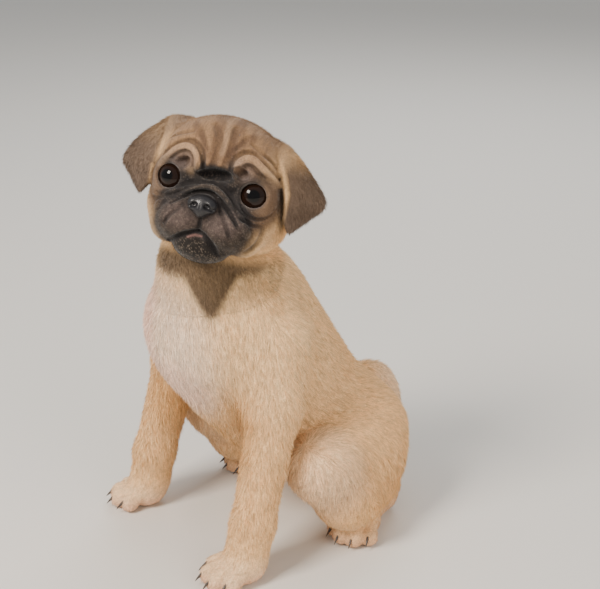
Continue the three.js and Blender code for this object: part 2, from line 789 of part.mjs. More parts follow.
function lidClay(clay) {
  clay.bothSides((s) => {
    const { centre, way } = eyePlace(s);
    clay.egg(centre, [EYE.radius + 3.4, EYE.radius + 1.2, EYE.radius + 2.6], 5, [s * EYE.splay, 0, 0]);
    const ring = [];
    const out = Math.sqrt(EYE.radius ** 2 - EYE.opening ** 2) + 0.6;
    const axis = new THREE.Vector3(...way).normalize();
    const across = new THREE.Vector3(0, 0, 1).cross(axis).normalize();
    const upward = axis.clone().cross(across);
    for (let i = 0; i <= 12; i++) {
      const a = (i / 12) * 2 * Math.PI;
      ring.push(
        new THREE.Vector3(...centre)
          .addScaledVector(axis, out)
          .addScaledVector(across, (EYE.opening + 0.8) * Math.cos(a) * 1.06)
          .addScaledVector(upward, (EYE.opening + 0.8) * Math.sin(a) * 0.96)
          .toArray(),
      );
    }
    // The opening between the lids, then the lid margins round it
    clay.egg(
      new THREE.Vector3(...centre).addScaledVector(axis, out + 4).toArray(),
      [EYE.opening * 1.06, 6.5, EYE.opening * 0.96],
      1.2,
      [s * EYE.splay, 0, 0],
      -1,
    );
    clay.cord(ring, () => 1.35, 1.2, 1, 24);
  });
}

function noseClay() {
  const clay = new Clay();
  const y = -NOSE.forward + 3;
  const z = -NOSE.drop;
  clay.egg([0, y, z], [NOSE.width / 2, 5.4, NOSE.height / 2], 2);
  clay.egg([0, y - 1, z - 3], [3.4, 4.6, 4.6], 2.5);
  clay.bothSides((s) => {
    clay.egg([s * 5.2, y - 0.6, z + 0.4], [3.6, 4.6, 4.2], 1.6);
    // Nostril: a round hole that runs on into a slit at the side
    clay.egg([s * 4, y - 5.6, z - 0.4], [2.2, 3, 1.8], 0.8, [0, 0, s * 20], -1);
    clay.cord([[s * 4.6, y - 5.0, z - 1.0], [s * 7.4, y - 2.4, z - 1.8]], () => 1.1, 0.8, -1, 4);
  });
  clay.cord([[0, y - 6.4, z + 1], [0, y - 6.2, z - 6]], () => 0.55, 0.8, -1, 3);
  return clay;
}

function headClay() {
  const clay = new Clay();
  skullClay(clay);
  muzzleClay(clay);
  foldClay(clay);
  mouthClay(clay);
  lidClay(clay);
  earCupClay(clay);
  return clay;
}

// Ear: a thin flap that leaves the skull, folds over and hangs with its tip at the cheek. Each row runs from
// the front edge to the rear edge, and the rows go from the root to the tip. x counts outward on either side.
const LEFT_EAR_ROWS = [
  { front: [27, -4, 31], middle: [28, 6, 33], rear: [26, 16, 32] },
  { front: [32.2, -8, 26.8], middle: [36, 5, 30], rear: [32.5, 17, 29] },
  { front: [36.5, -11, 20.9], middle: [42, 4, 24.5], rear: [39, 17.5, 25.4] },
  { front: [41.3, -12, 10.2], middle: [48.5, 2, 16], rear: [47.2, 15, 19.6] },
  { front: [44.3, -11, -1], middle: [54, -1, 2.5], rear: [63.5, 8, 1.4] },
  { front: [45.4, -9, -10.7], middle: [51.5, -2.5, -8], rear: [57.5, 3, -7.2] },
  { front: [48.2, -6.5, -17.3], middle: [48.5, -5.5, -17.4], rear: [48.8, -4.5, -17.3] },
];
// The right ear stands further out from the skull
const RIGHT_EAR_ROWS = [
  { front: [24, -4, 35], middle: [27, 5, 36.5], rear: [30, 14, 36] },
  { front: [33, -7, 31], middle: [38, 4, 35], rear: [42, 14.5, 34] },
  { front: [35.6, -9, 23], middle: [44.5, 3, 28.5], rear: [49, 14.5, 28.4] },
  { front: [37.6, -10, 15.2], middle: [49.5, 1, 20.5], rear: [57.2, 13, 21.6] },
  { front: [39.4, -10, 7.5], middle: [54, -3, 8.5], rear: [64.9, 6, 5.2] },
  { front: [41.6, -9, -1.6], middle: [50.5, -5.5, -1], rear: [57.3, 0, -3.3] },
  { front: [48.1, -7, -11.5], middle: [48.5, -6.5, -11.6], rear: [48.8, -6, -11.5] },
];

// A closed flap through the rows: a smooth sheet with a rounded edge, the same triangles on both faces.
function earGeometry(side) {
  const across = 8;
  const along = 14;
  const rows = side > 0 ? LEFT_EAR_ROWS : RIGHT_EAR_ROWS;
  const column = (key) =>
    new THREE.CatmullRomCurve3(rows.map((row) => new THREE.Vector3(side * row[key][0], row[key][1], row[key][2])));
  const [front, middle, rear] = ["front", "middle", "rear"].map(column);
  const sheet = (u, v) => {
    const row = new THREE.QuadraticBezierCurve3(
      front.getPoint(v),
      middle.getPoint(v).multiplyScalar(2).addScaledVector(front.getPoint(v), -0.5).addScaledVector(rear.getPoint(v), -0.5),
      rear.getPoint(v),
    );
    return row.getPoint(u);
  };
  const points = [];
  const grid = (i, j, face) => (face * (along + 1) + j) * (across + 1) + i;
  for (const face of [0, 1]) {
    for (let j = 0; j <= along; j++) {
      for (let i = 0; i <= across; i++) {
        const u = i / across;
        const v = j / along;
        const here = sheet(u, v);
        const du = sheet(Math.min(1, u + 0.02), v).sub(sheet(Math.max(0, u - 0.02), v));
        const dv = sheet(u, Math.min(1, v + 0.02)).sub(sheet(u, Math.max(0, v - 0.02)));
        const normal = du.cross(dv).normalize();
        const rim = Math.min(1, 0.35 + 3.2 * Math.min(u, 1 - u, 1 - v));
        here.addScaledVector(normal, (face ? -1 : 1) * EAR.thickness * 0.5 * rim);
        points.push(...here.toArray());
      }
    }
  }
  const faces = [];
  const quad = (a, b, c, d) => faces.push(a, b, c, a, c, d);
  for (let j = 0; j < along; j++) {
    for (let i = 0; i < across; i++) {
      quad(grid(i, j, 0), grid(i + 1, j, 0), grid(i + 1, j + 1, 0), grid(i, j + 1, 0));
      const [a, b, c, d] = [grid(i, j, 1), grid(i + 1, j, 1), grid(i + 1, j + 1, 1), grid(i, j + 1, 1)];
      faces.push(a, c, b, a, d, c);
    }
  }
  for (let j = 0; j < along; j++) {
    quad(grid(0, j, 1), grid(0, j, 0), grid(0, j + 1, 0), grid(0, j + 1, 1));
    quad(grid(across, j, 0), grid(across, j, 1), grid(across, j + 1, 1), grid(across, j + 1, 0));
  }
  for (let i = 0; i < across; i++) {
    quad(grid(i, 0, 1), grid(i + 1, 0, 1), grid(i + 1, 0, 0), grid(i, 0, 0));
    quad(grid(i, along, 0), grid(i + 1, along, 0), grid(i + 1, along, 1), grid(i, along, 1));
  }
  return geometryOf({ points, faces });
}

// Claw: a short bent cone set into the toe
function clawGeometry(paw, toe) {
  const [x, y] = toePlace(paw, { across: toe.across * 1.03, ahead: toe.ahead + 2 });
  const profile = [
    [0, 0],
    [CLAW.radius, 0],
    [CLAW.radius * 0.92, CLAW.length * 0.4],
    [CLAW.radius * 0.55, CLAW.length * 0.8],
    [0, CLAW.length],
  ].map(([r, h]) => new THREE.Vector2(r, h));
  const geometry = new THREE.LatheGeometry(profile, 8);
  geometry.rotateX(radians(-148));
  geometry.rotateZ(radians(paw.heading + toe.across));
  geometry.translate(x, y, 9);
  return geometry;
}

// Eye: a ball whose clear front bulges a little
function eyeGeometry(side) {
  const { centre, way } = eyePlace(side);
  const geometry = new THREE.SphereGeometry(EYE.radius, 20, 14);
  geometry.rotateX(Math.PI / 2);
  const place = geometry.attributes.position;
  const axis = new THREE.Vector3(...way).normalize();
  const turn = new THREE.Quaternion().setFromUnitVectors(new THREE.Vector3(0, 0, 1), axis);
  geometry.applyQuaternion(turn);
  const p = new THREE.Vector3();
  for (let i = 0; i < place.count; i++) {
    p.fromBufferAttribute(place, i);
    const ahead = Math.max(0, p.dot(axis) / EYE.radius - 0.78) / 0.22;
    p.addScaledVector(axis, 0.9 * ahead);
    place.setXYZ(i, p.x, p.y, p.z);
  }
  geometry.translate(...centre);
  return geometry;
}

// Materials
const finish = (color, roughness) => new THREE.MeshStandardMaterial({ color, roughness, metalness: 0 });
const MATERIALS = {
  fawn: finish("#cfae84", 0.9),
  mask: finish("#4a3d38", 0.85),
  nose: finish("#25262b", 0.45),
  eye: finish("#17110f", 0.08),
  claw: finish("#4b4540", 0.5),
};

const puppy = new THREE.Group();
puppy.position.set(FOOTPRINT_SHIFT.x, FOOTPRINT_SHIFT.y, 0);
const head = new THREE.Group();
head.position.set(...HEAD.centre);
head.rotation.set(radians(HEAD.pitch), radians(HEAD.roll), radians(HEAD.yaw), "ZXY");
head.updateMatrix();
puppy.add(head);

function addPart(parent, name, solid, material) {
  const mesh = new THREE.Mesh(geometryOfSolid(tidied(solid)), material);
  mesh.name = name;
  parent.add(mesh);
}

function turnedWithHead(solid) {
  const geometry = geometryOfSolid(solid);
  geometry.applyMatrix4(head.matrix);
  return solidOf(geometry);
}

// Head parts: eyes, nose and ears are made first, and the head is cut clear of the eyes and nose
const HEAD_FACES = 4300;
let headSolid = sculpted(headClay(), 1.5, HEAD_FACES);
const noseSolid = sculpted(noseClay(), 0.8, 460);
headSolid = headSolid.subtract(grown(noseSolid, GAP));
for (const side of [1, -1]) {
  const label = side > 0 ? "left" : "right";
  const eye = solidOf(eyeGeometry(side));
  headSolid = headSolid.subtract(grown(eye, GAP));
  addPart(head, `eye_${label}`, eye, MATERIALS.eye);
}
headSolid = largest(headSolid);
const headGrown = grown(headSolid, GAP);
for (const side of [1, -1]) {
  const label = side > 0 ? "left" : "right";
  addPart(head, `ear_${label}`, largest(solidOf(earGeometry(side)).subtract(headGrown)), MATERIALS.mask);
}
addPart(head, "head", headSolid, MATERIALS.fawn);
addPart(head, "nose", noseSolid, MATERIALS.nose);

// Body parts
const BODY_FACES = 3900;
let body = sculpted(bodyClay(), 3, BODY_FACES, FLOOR);
const headForm = turnedWithHead(sculpted(headClay(), 2.2, 1100));
body = largest(body.subtract(grown(headForm, GAP + 0.9)));

// Claws are set in first, so that each paw is cut clear of its own
for (const [kind, legs] of [["fore", FORELEGS], ["hind", HINDLEGS]]) {
  for (const leg of legs) {
    TOES.forEach((toe, i) => {
      const claw = solidOf(clawGeometry(leg.paw, toe));
      body = body.subtract(grown(claw, GAP));
      addPart(puppy, `claw_${kind}_${leg.name}_${i + 1}`, claw, MATERIALS.claw);
    });
  }
}
body = largest(body);

// Each leg comes away along a soft skin round its own lumps
const LEG_SKIN = 5;
function legRegion(place, leg) {
  const clay = new Clay(LEG_SKIN);
  place(clay, leg);
  return sculpted(clay, 4.5, 400);
}

for (const leg of FORELEGS) {
  const region = legRegion(forelegClay, leg);
  const whole = largest(body.intersect(region));
  body = largest(body.subtract(grown(region, GAP)));
  const [upper, lower] = parted(whole, leg.elbow, leg.elbow.map((c, i) => c - leg.wrist[i]), 60);
  const [forearm, paw] = parted(lower, leg.pastern, [0, 0, 1], 60);
  addPart(puppy, `upper_arm_${leg.name}`, upper, MATERIALS.fawn);
  addPart(puppy, `forearm_${leg.name}`, forearm, MATERIALS.fawn);
  addPart(puppy, `forepaw_${leg.name}`, paw, MATERIALS.fawn);
}
for (const leg of HINDLEGS) {
  const region = legRegion(hindlegClay, leg);
  const whole = largest(body.intersect(region));
  body = largest(body.subtract(grown(region, GAP)));
  const [thigh, foot] = parted(whole, [leg.paw.at[0], leg.paw.at[1], 21], [0, 0, 1], 90);
  addPart(puppy, `thigh_${leg.name}`, thigh, MATERIALS.fawn);
  addPart(puppy, `hindpaw_${leg.name}`, foot, MATERIALS.fawn);
}
const [neck, torso] = parted(body, [4, -74, 186], [0.12, -0.28, 0.95], 90);
addPart(puppy, "neck", neck, MATERIALS.fawn);
addPart(puppy, "torso", torso, MATERIALS.fawn);
const tail = sculpted(tailClay(), 2.2, 460);
addPart(puppy, "tail", largest(tail.subtract(grown(torso, GAP))), MATERIALS.fawn);

export default puppy;
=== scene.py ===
"""A young pug sitting on its rump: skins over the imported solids, with eyes, nose, claws and a short coat.

The flesh is worked like clay in millimetres, with the same lumps as the solids, then one skin is drawn over
the head and one over the body, and both are turned to metres. The head is worked in its own upright frame and
turned into the puppy's frame.
"""

import logging
import math
from dataclasses import astuple, dataclass, replace
from enum import Enum
from typing import Callable, Iterable, Sequence

import bpy
import numpy as np
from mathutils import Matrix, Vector
from mathutils.bvhtree import BVHTree

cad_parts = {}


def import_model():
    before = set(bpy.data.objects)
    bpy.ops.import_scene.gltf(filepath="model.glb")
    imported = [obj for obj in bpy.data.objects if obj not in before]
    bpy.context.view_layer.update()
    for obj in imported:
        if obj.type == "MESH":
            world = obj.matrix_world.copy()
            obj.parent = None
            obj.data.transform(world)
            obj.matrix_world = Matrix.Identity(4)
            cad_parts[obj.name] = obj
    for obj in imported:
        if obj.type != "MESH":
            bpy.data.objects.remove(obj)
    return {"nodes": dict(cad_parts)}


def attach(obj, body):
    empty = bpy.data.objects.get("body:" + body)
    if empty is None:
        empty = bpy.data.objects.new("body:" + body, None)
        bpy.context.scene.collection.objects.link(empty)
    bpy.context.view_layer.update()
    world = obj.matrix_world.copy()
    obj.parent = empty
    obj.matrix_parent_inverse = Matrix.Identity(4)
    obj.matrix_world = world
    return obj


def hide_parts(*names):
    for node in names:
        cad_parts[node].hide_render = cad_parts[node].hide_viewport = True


LOG = logging.getLogger("puppy")
MM = 0.001

# Driving dimensions, in millimetres, the same as the solids'
FOOTPRINT_SHIFT = np.array([0.8, 31.4, 0.0])
HEAD_CENTRE = np.array([23.0, -92.5, 255.4])
HEAD_TURN = (42.0, -15.0, 8.5)
EYE_RADIUS = 11.2
EYE_SPACING = 48.6
EYE_FORWARD = 17.2
EYE_HEIGHT = 0.9
EYE_SLANT = 0.8  # how much the left eye sits lower and the right one higher
EYE_OPENING = 8.2
EYE_SPLAY = 15.0
NOSE_WIDTH = 16.5
NOSE_HEIGHT = 12.5
NOSE_FORWARD = 41.0
NOSE_DROP = 10.2
CHEST_HALF_WIDTH = 48.0
STANCE_HALF_WIDTH = 60.0
FORELEG_RADIUS = 14.0
TAIL_RADIUS = 9.5
SPINE_LEAN = 29.0
COAT_DEPTH_BODY = 0.9
COAT_DEPTH_FACE = 0.35
EAR_THICKNESS = 3.9  # before the coat's depth comes off both faces

FAR = 40.0  # the distance given where no clay is near
MARGIN = 14.0  # how far round its box a lump of clay is felt
FOLD_REACH = 2.8  # how far off the skin a fold is felt for when shade and highlights are painted on it

Point = Sequence[float]
Marks = Sequence[tuple[float, float]]
Distance = Callable[[np.ndarray], np.ndarray]


def linear(hex_colour: str) -> tuple[float, float, float, float]:
    """Turns an sRGB hex colour to linear red, green, blue and alpha.

    Args:
        hex_colour: Six hex digits with a leading hash.

    Returns:
        Four linear numbers, with alpha 1.
    """
    digits = hex_colour.lstrip("#")
    parts = [int(digits[i : i + 2], 16) / 255 for i in (0, 2, 4)]
    turned = [p / 12.92 if p <= 0.04045 else ((p + 0.055) / 1.055) ** 2.4 for p in parts]
    return (turned[0], turned[1], turned[2], 1.0)


def turning(yaw: float, pitch: float, roll: float) -> np.ndarray:
    """Makes a turn in the head's order: yaw about z, pitch about x, then roll about y.

    Args:
        yaw: The turn about z, in degrees.
        pitch: The turn about x, in degrees.
        roll: The turn about y, in degrees.

    Returns:
        The turn as a 3 by 3 array.
    """
    a, b, c = (math.radians(v) for v in (yaw, pitch, roll))
    rz = np.array([[math.cos(a), -math.sin(a), 0], [math.sin(a), math.cos(a), 0], [0, 0, 1]])
    rx = np.array([[1, 0, 0], [0, math.cos(b), -math.sin(b)], [0, math.sin(b), math.cos(b)]])
    ry = np.array([[math.cos(c), 0, math.sin(c)], [0, 1, 0], [-math.sin(c), 0, math.cos(c)]])
    return rz @ rx @ ry


HEAD_ROTATION = turning(*HEAD_TURN)


def to_head(points: np.ndarray) -> np.ndarray:
    """Moves points from the puppy's working frame into the head's upright frame."""
    return (points - HEAD_CENTRE) @ HEAD_ROTATION


def from_head(points: np.ndarray) -> np.ndarray:
    """Moves points from the head's upright frame into the puppy's working frame."""
    return points @ HEAD_ROTATION.T + HEAD_CENTRE


def to_row(points: np.ndarray) -> np.ndarray:
    """Turns working millimetres into the row frame's metres."""
    return (points + FOOTPRINT_SHIFT) * MM


def unit(vector: np.ndarray) -> np.ndarray:
    """Gives a vector the length 1."""
    return vector / np.linalg.norm(vector)


def smooth_step(low: float, high: float, value: np.ndarray) -> np.ndarray:
    """Rises smoothly from 0 at low to 1 at high; low may be the larger of the two."""
    t = np.clip((value - low) / (high - low), 0.0, 1.0)
    return t * t * (3 - 2 * t)


def curve_points(points: Sequence[Point], steps: int) -> np.ndarray:
    """Runs a smooth curve through a few points.

    Args:
        points: The points the curve passes through.
        steps: How many equal steps the curve is divided into.

    Returns:
        An array of steps + 1 points.
    """
    p = np.array(points, float)
    count = len(p)
    out = []
    for step in range(steps + 1):
        place = (count - 1) * step / steps
        i = min(int(place), count - 2)
        w = place - i
        p1, p2 = p[i], p[i + 1]
        p0 = p[i - 1] if i > 0 else 2 * p[0] - p[1]
        p3 = p[i + 2] if i + 2 < count else 2 * p[-1] - p[-2]
        d0, d1, d2 = (float(np.dot(b - a, b - a)) ** 0.25 for a, b in ((p0, p1), (p1, p2), (p2, p3)))
        d1 = d1 if d1 > 1e-4 else 1.0
        d0 = d0 if d0 > 1e-4 else d1
        d2 = d2 if d2 > 1e-4 else d1
        t1 = ((p1 - p0) / d0 - (p2 - p0) / (d0 + d1) + (p2 - p1) / d1) * d1
        t2 = ((p2 - p1) / d1 - (p3 - p1) / (d1 + d2) + (p3 - p2) / d2) * d1
        c2 = -3 * p1 + 3 * p2 - 2 * t1 - t2
        c3 = 2 * p1 - 2 * p2 + t1 + t2
        out.append(p1 + t1 * w + c2 * w * w + c3 * w**3)
    return np.array(out)


@dataclass
class Lump:
    """One lump of clay or one press of a tool."""

    distance: Distance
    low: np.ndarray
    high: np.ndarray
    softness: float
    sign: int


def melt(a: np.ndarray, b: np.ndarray, softness: float, sign: int) -> np.ndarray:
    """Joins two distances smoothly, or cuts one out of the other.

    Args:
        a: The first distances.
        b: The second distances.
        softness: How wide the join is rounded.
        sign: +1 joins them, -1 cuts b out of a.

    Returns:
        The distances to the result.
    """
    if sign > 0:
        h = np.maximum(softness - np.abs(a - b), 0) / softness
        return np.minimum(a, b) - h * h * softness / 4
    h = np.maximum(softness - np.abs(a + b), 0) / softness
    return np.maximum(a, -b) + h * h * softness / 4


class Clay:
    """Lumps that melt together and tools that press into them, with a signed distance to the result."""

    def __init__(self) -> None:
        """Starts with no clay."""
        self.lumps: list[Lump] = []

    def egg(
        self,
        centre: Point,
        radii: Point,
        softness: float = 8,
        turn: Point = (0, 0, 0),
        sign: int = 1,
    ) -> None:
        """Adds or cuts an egg shape.

        Args:
            centre: Its middle.
            radii: Its three radii.
            softness: How wide its join is rounded.
            turn: Its yaw, pitch and roll in degrees.
            sign: +1 adds it, -1 cuts it out.
        """
        c = np.array(centre, float)
        r = np.array(radii, float)
        m = turning(*turn)
        reach = float(r.max())

        def distance(p: np.ndarray) -> np.ndarray:
            """Measures from points to the egg.

            Args:
                p: The points.

            Returns:
                Their signed distances.
            """
            q = (p - c) @ m / r
            near = np.linalg.norm(q, axis=-1)
            slope = np.linalg.norm(q / r, axis=-1)
            return np.where(slope < 1e-9, -r.min(), near * (near - 1) / np.maximum(slope, 1e-9))

        self.lumps.append(Lump(distance, c - reach, c + reach, softness, sign))

    def limb(self, start: Point, end: Point, r0: float, r1: float, softness: float = 8) -> None:
        """Adds a rounded limb between two points.

        Args:
            start: The middle of its first end.
            end: The middle of its second end.
            r0: The radius at the first end.
            r1: The radius at the second end.
            softness: How wide its join is rounded.
        """
        a = np.array(start, float)
        b = np.array(end, float) - a
        squared = float(b @ b)

        def distance(p: np.ndarray) -> np.ndarray:
            """Measures from points to the limb.

            Args:
                p: The points.

            Returns:
                Their signed distances.
            """
            d = p - a
            t = np.clip(d @ b / squared, 0, 1)
            return np.linalg.norm(d - t[..., None] * b, axis=-1) - (r0 + t * (r1 - r0))

        reach = max(r0, r1)
        low, high = np.minimum(a, a + b), np.maximum(a, a + b)
        self.lumps.append(Lump(distance, low - reach, high + reach, softness, 1))

    def cord(
        self,
        points: Sequence[Point],
        radius_at: Callable[[float], float],
        softness: float = 2,
        sign: int = 1,
        steps: int = 14,
    ) -> None:
        """Adds a tube along a smooth curve, or presses it in.

        Args:
            points: The points the curve passes through.
            radius_at: The tube's radius at a share of its length from 0 to 1.
            softness: How wide its join is rounded.
            sign: +1 adds it as a fold, -1 presses it in as a crease.
            steps: How many straight pieces it is made of.
        """
        along = curve_points(points, steps)
        radii = np.array([radius_at(i / steps) for i in range(steps + 1)])

        def distance(p: np.ndarray) -> np.ndarray:
            """Measures from points to the tube.

            Args:
                p: The points.

            Returns:
                Their signed distances.
            """
            best = np.full(p.shape[:-1], np.inf)
            for i in range(steps):
                a, b = along[i], along[i + 1] - along[i]
                d = p - a
                t = np.clip(d @ b / float(b @ b), 0, 1)
                away = np.linalg.norm(d - t[..., None] * b, axis=-1)
                best = np.minimum(best, away - radii[i] - t * (radii[i + 1] - radii[i]))
            return best

        reach = float(radii.max())
        self.lumps.append(Lump(distance, along.min(0) - reach, along.max(0) + reach, softness, sign))

    def at(self, points: np.ndarray) -> np.ndarray:
        """Measures the clay.

        Args:
            points: The points to measure from.

        Returns:
            The signed distance of each point, negative inside; it holds near the surface only.
        """
        d = np.full(len(points), FAR)
        for lump in self.lumps:
            near = np.all((points > lump.low - MARGIN) & (points < lump.high + MARGIN), axis=1)
            index = np.nonzero(near)[0]
            if len(index):
                d[index] = melt(d[index], lump.distance(points[index]), lump.softness, lump.sign)
        return d

    def seen_from_front(self, x: float, z: float, inward: float = 0.0) -> list[float]:
        """Finds the surface point that shows at a place seen from the front.

        Args:
            x: The place across.
            z: The height.
            inward: How far the point is moved back into the clay.

        Returns:
            The point.
        """
        p = np.array([[x, -75.0, z]])
        for _ in range(60):
            step = float(self.at(p)[0])
            if step < 0.02 or p[0, 1] > 20:
                break
            p[0, 1] += max(0.02, 0.7 * min(step, 12.0))
        return [x, float(p[0, 1]) + inward, z]

    def crease(self, marks: Marks, radius: float, depth: float, softness: float) -> None:
        """Presses a crease that thins out at both ends.

        Args:
            marks: Its line, as x and z from the front.
            radius: Its radius halfway.
            depth: How far its middle line lies under the surface.
            softness: How wide its edge is rounded.
        """
        points = [self.seen_from_front(x, z, depth) for x, z in marks]
        self.cord(points, lambda t: radius * (0.35 + 0.65 * math.sin(math.pi * t)), softness, -1)

    def fold(self, marks: Marks, radius: float, inward: float, softness: float) -> None:
        """Raises a fold of skin that thins out at both ends.

        Args:
            marks: Its line, as x and z from the front.
            radius: Its radius halfway.
            inward: How far its middle line lies under the surface.
            softness: How wide its join is rounded.
        """
        points = [self.seen_from_front(x, z, inward) for x, z in marks]
        self.cord(points, lambda t: radius * (0.55 + 0.45 * math.sin(math.pi * t)), softness, 1)


def both_sides() -> tuple[int, int]:
    """Gives the signs of the puppy's left and right sides."""
    return (1, -1)


@dataclass(frozen=True)
class Toe:
    """Where a toe stands from the middle of its paw."""

    across: float
    ahead: float
    radius: float


TOES = (Toe(-13.5, 13, 6.2), Toe(-4.8, 19.5, 6.8), Toe(4.8, 19.5, 6.8), Toe(13.5, 13, 6.2))


@dataclass(frozen=True)
class Paw:
    """A paw: the middle of its sole, the way its toes point, and its size."""

    at: tuple[float, float]
    heading: float
    size: float

    def place(self, across: float, ahead: float) -> tuple[float, float]:
        """Finds a floor point by the paw.

        Args:
            across: How far it lies to the left of the paw's middle, before the paw's size.
            ahead: How far it lies ahead of the paw's middle, before the paw's size.

        Returns:
            Its x and y.
        """
        turn = math.radians(self.heading)
        a, b = across * self.size, ahead * self.size
        return (
            self.at[0] + a * math.cos(turn) + b * math.sin(turn),
            self.at[1] + a * math.sin(turn) - b * math.cos(turn),
        )

    def shape(self, clay: Clay) -> None:
        """Adds the paw's pad and toes.

        Args:
            clay: The body's clay.
        """
        clay.egg((*self.at, 9), (14.5 * self.size, 14 * self.size, 10), 7, (self.heading, 0, 0))
        for toe in TOES:
            tx, ty = self.place(toe.across, toe.ahead)
            rx, ry = self.place(toe.across * 0.72, toe.ahead * 0.3)
            clay.limb((rx, ry, 12), (tx, ty, 7.2), toe.radius * 0.95, toe.radius, 2.2)
            clay.egg((tx, ty, 4.5), (toe.radius * 0.92, toe.radius * 1.02, 4.8), 2.2, (self.heading, 0, 0))


@dataclass(frozen=True)
class Foreleg:
    """A foreleg from the shoulder to the paw."""

    name: str
    shoulder: Point
    elbow: Point
    wrist: Point
    pastern: Point
    paw: Paw

    def shape(self, clay: Clay) -> None:
        """Adds the leg.

        Args:
            clay: The body's clay.
        """
        clay.limb(self.shoulder, self.elbow, 22, 17.5, 14)
        clay.limb(self.elbow, self.wrist, 17, FORELEG_RADIUS, 10)
        clay.limb(self.wrist, self.pastern, FORELEG_RADIUS, FORELEG_RADIUS - 0.5, 8)
        clay.limb(self.pastern, (self.paw.at[0], self.paw.at[1] - 2, 11), FORELEG_RADIUS - 1, 11, 8)
        self.paw.shape(clay)


@dataclass(frozen=True)
class Hindleg:
    """A folded hind leg from the hip to the paw."""

    name: str
    side: int
    hip: Point
    knee: Point
    shin: Point
    hock: Point
    heel: Point
    paw: Paw

    def shape(self, clay: Clay) -> None:
        """Adds the leg.

        Args:
            clay: The body's clay.
        """
        clay.limb(self.hip, self.knee, 34, 21, 16)
        clay.limb(self.knee, self.shin, 21, 22, 10)
        clay.limb(self.shin, self.hock, 21, 13, 10)
        clay.egg((self.side * 52, 0, 44), (23, 34, 28), 12, (0, 10, 0))
        clay.limb(self.hock, self.heel, 12, 9, 6)
        clay.limb(self.heel, (*self.paw.at, 10), 9.5, 9.5, 5)
        self.paw.shape(clay)


HALF = STANCE_HALF_WIDTH
FORELEGS = (
    Foreleg(
        "left",
        (44, -66, 150),
        (52, -74, 112),
        (HALF, -98, 36),
        (HALF, -103, 18),
        Paw((HALF, -107), -10, 1.06),
    ),
    Foreleg(
        "right",
        (-44, -66, 150),
        (-54, -79, 112),
        (-HALF - 2, -97, 40),
        (-HALF - 4, -100, 20),
        Paw((-HALF - 6, -103), -28, 0.96),
    ),
)
HINDLEGS = tuple(
    Hindleg(
        "left" if s > 0 else "right",
        s,
        (s * 32, 14, 62),
        (s * 62, -44, 62),
        (s * 64, -22, 34),
        (s * 44, 25, 19),
        (s * 43, 27, 9),
        Paw((s * 61, -8), s * 24, 0.96),
    )
    for s in both_sides()
)
TAIL_PATH = (
    (0, 28, 80),
    (-2, 44, 84),
    (-3, 60, 78),
    (-2, 70, 60),
    (1, 66, 43),
    (5, 54, 37),
    (9, 46, 46),
    (11, 49, 57),
)


class Body:
    """The trunk, neck, legs, paws and tail, as clay in the puppy's working frame."""

    def __init__(self) -> None:
        """Works the body's clay."""
        self.clay = Clay()
        self.trunk()
        self.neck()
        for leg in (*FORELEGS, *HINDLEGS):
            leg.shape(self.clay)
        self.creases()
        self.clay.cord(TAIL_PATH, lambda t: TAIL_RADIUS * (1.12 - 0.55 * t), 3, 1, 26)

    def trunk(self) -> None:
        """Adds the rib cage, breast, back, belly, pelvis, shoulders and rump."""
        clay = self.clay
        clay.egg((0, -64, 130), (CHEST_HALF_WIDTH, 49, 74), 12, (0, SPINE_LEAN, 0))
        clay.egg((-2, -99, 152), (38, 29, 40), 16, (0, 12, 0))
        clay.limb((0, -50, 149), (0, 2, 68), 41.5, 40.5, 14)
        clay.egg((0, -30, 84), (45, 44, 50), 16, (0, SPINE_LEAN, 0))
        clay.egg((0, 12, 52), (45, 42, 52), 16, (0, 24, 0))
        for s in both_sides():
            clay.egg((s * 37, -72, 148), (19, 29, 42), 14, (0, 14, 0))
            clay.egg((s * 21, 16, 21), (21, 24, 22), 12)

    def neck(self) -> None:
        """Adds the neck and the swell under the chin."""
        self.clay.limb((0, -69, 178), (12, -90, 226), 39, 28.5, 20)
        self.clay.egg((6, -98, 200), (30, 24, 30), 16)

    def creases(self) -> None:
        """Presses the folds of loose skin at the back of each thigh and over each hock."""
        for s in both_sides():
            thigh = [(s * 72, 20, 52), (s * 66, 36, 49), (s * 50, 50, 50)]
            hock = [(s * 78, 8, 34), (s * 66, 32, 31), (s * 50, 45, 34)]
            for line in (thigh, hock):
                self.clay.cord(line, lambda t: 1.5, 5, -1, 8)


@dataclass(frozen=True)
class EyePlace:
    """Where an eye sits in the head's frame, and the three ways it is turned."""

    centre: np.ndarray
    way: np.ndarray
    across: np.ndarray
    upward: np.ndarray


def eye_place(side: int) -> EyePlace:
    """Finds an eye's place in the head's frame.

    Args:
        side: +1 for the puppy's left, -1 for its right.

    Returns:
        Its centre, the way it looks, and the ways across and up its face.
    """
    splay = math.radians(EYE_SPLAY) * side
    centre = np.array([side * EYE_SPACING / 2, -EYE_FORWARD, EYE_HEIGHT - side * EYE_SLANT])
    way = unit(np.array([math.sin(splay), -math.cos(splay), 0.03]))
    across = unit(np.cross((0, 0, 1), way))
    return EyePlace(centre, way, across, np.cross(way, across))


@dataclass(frozen=True)
class EarRow:
    """One row across an ear, from its front edge to its rear edge."""

    front: Point
    middle: Point
    rear: Point


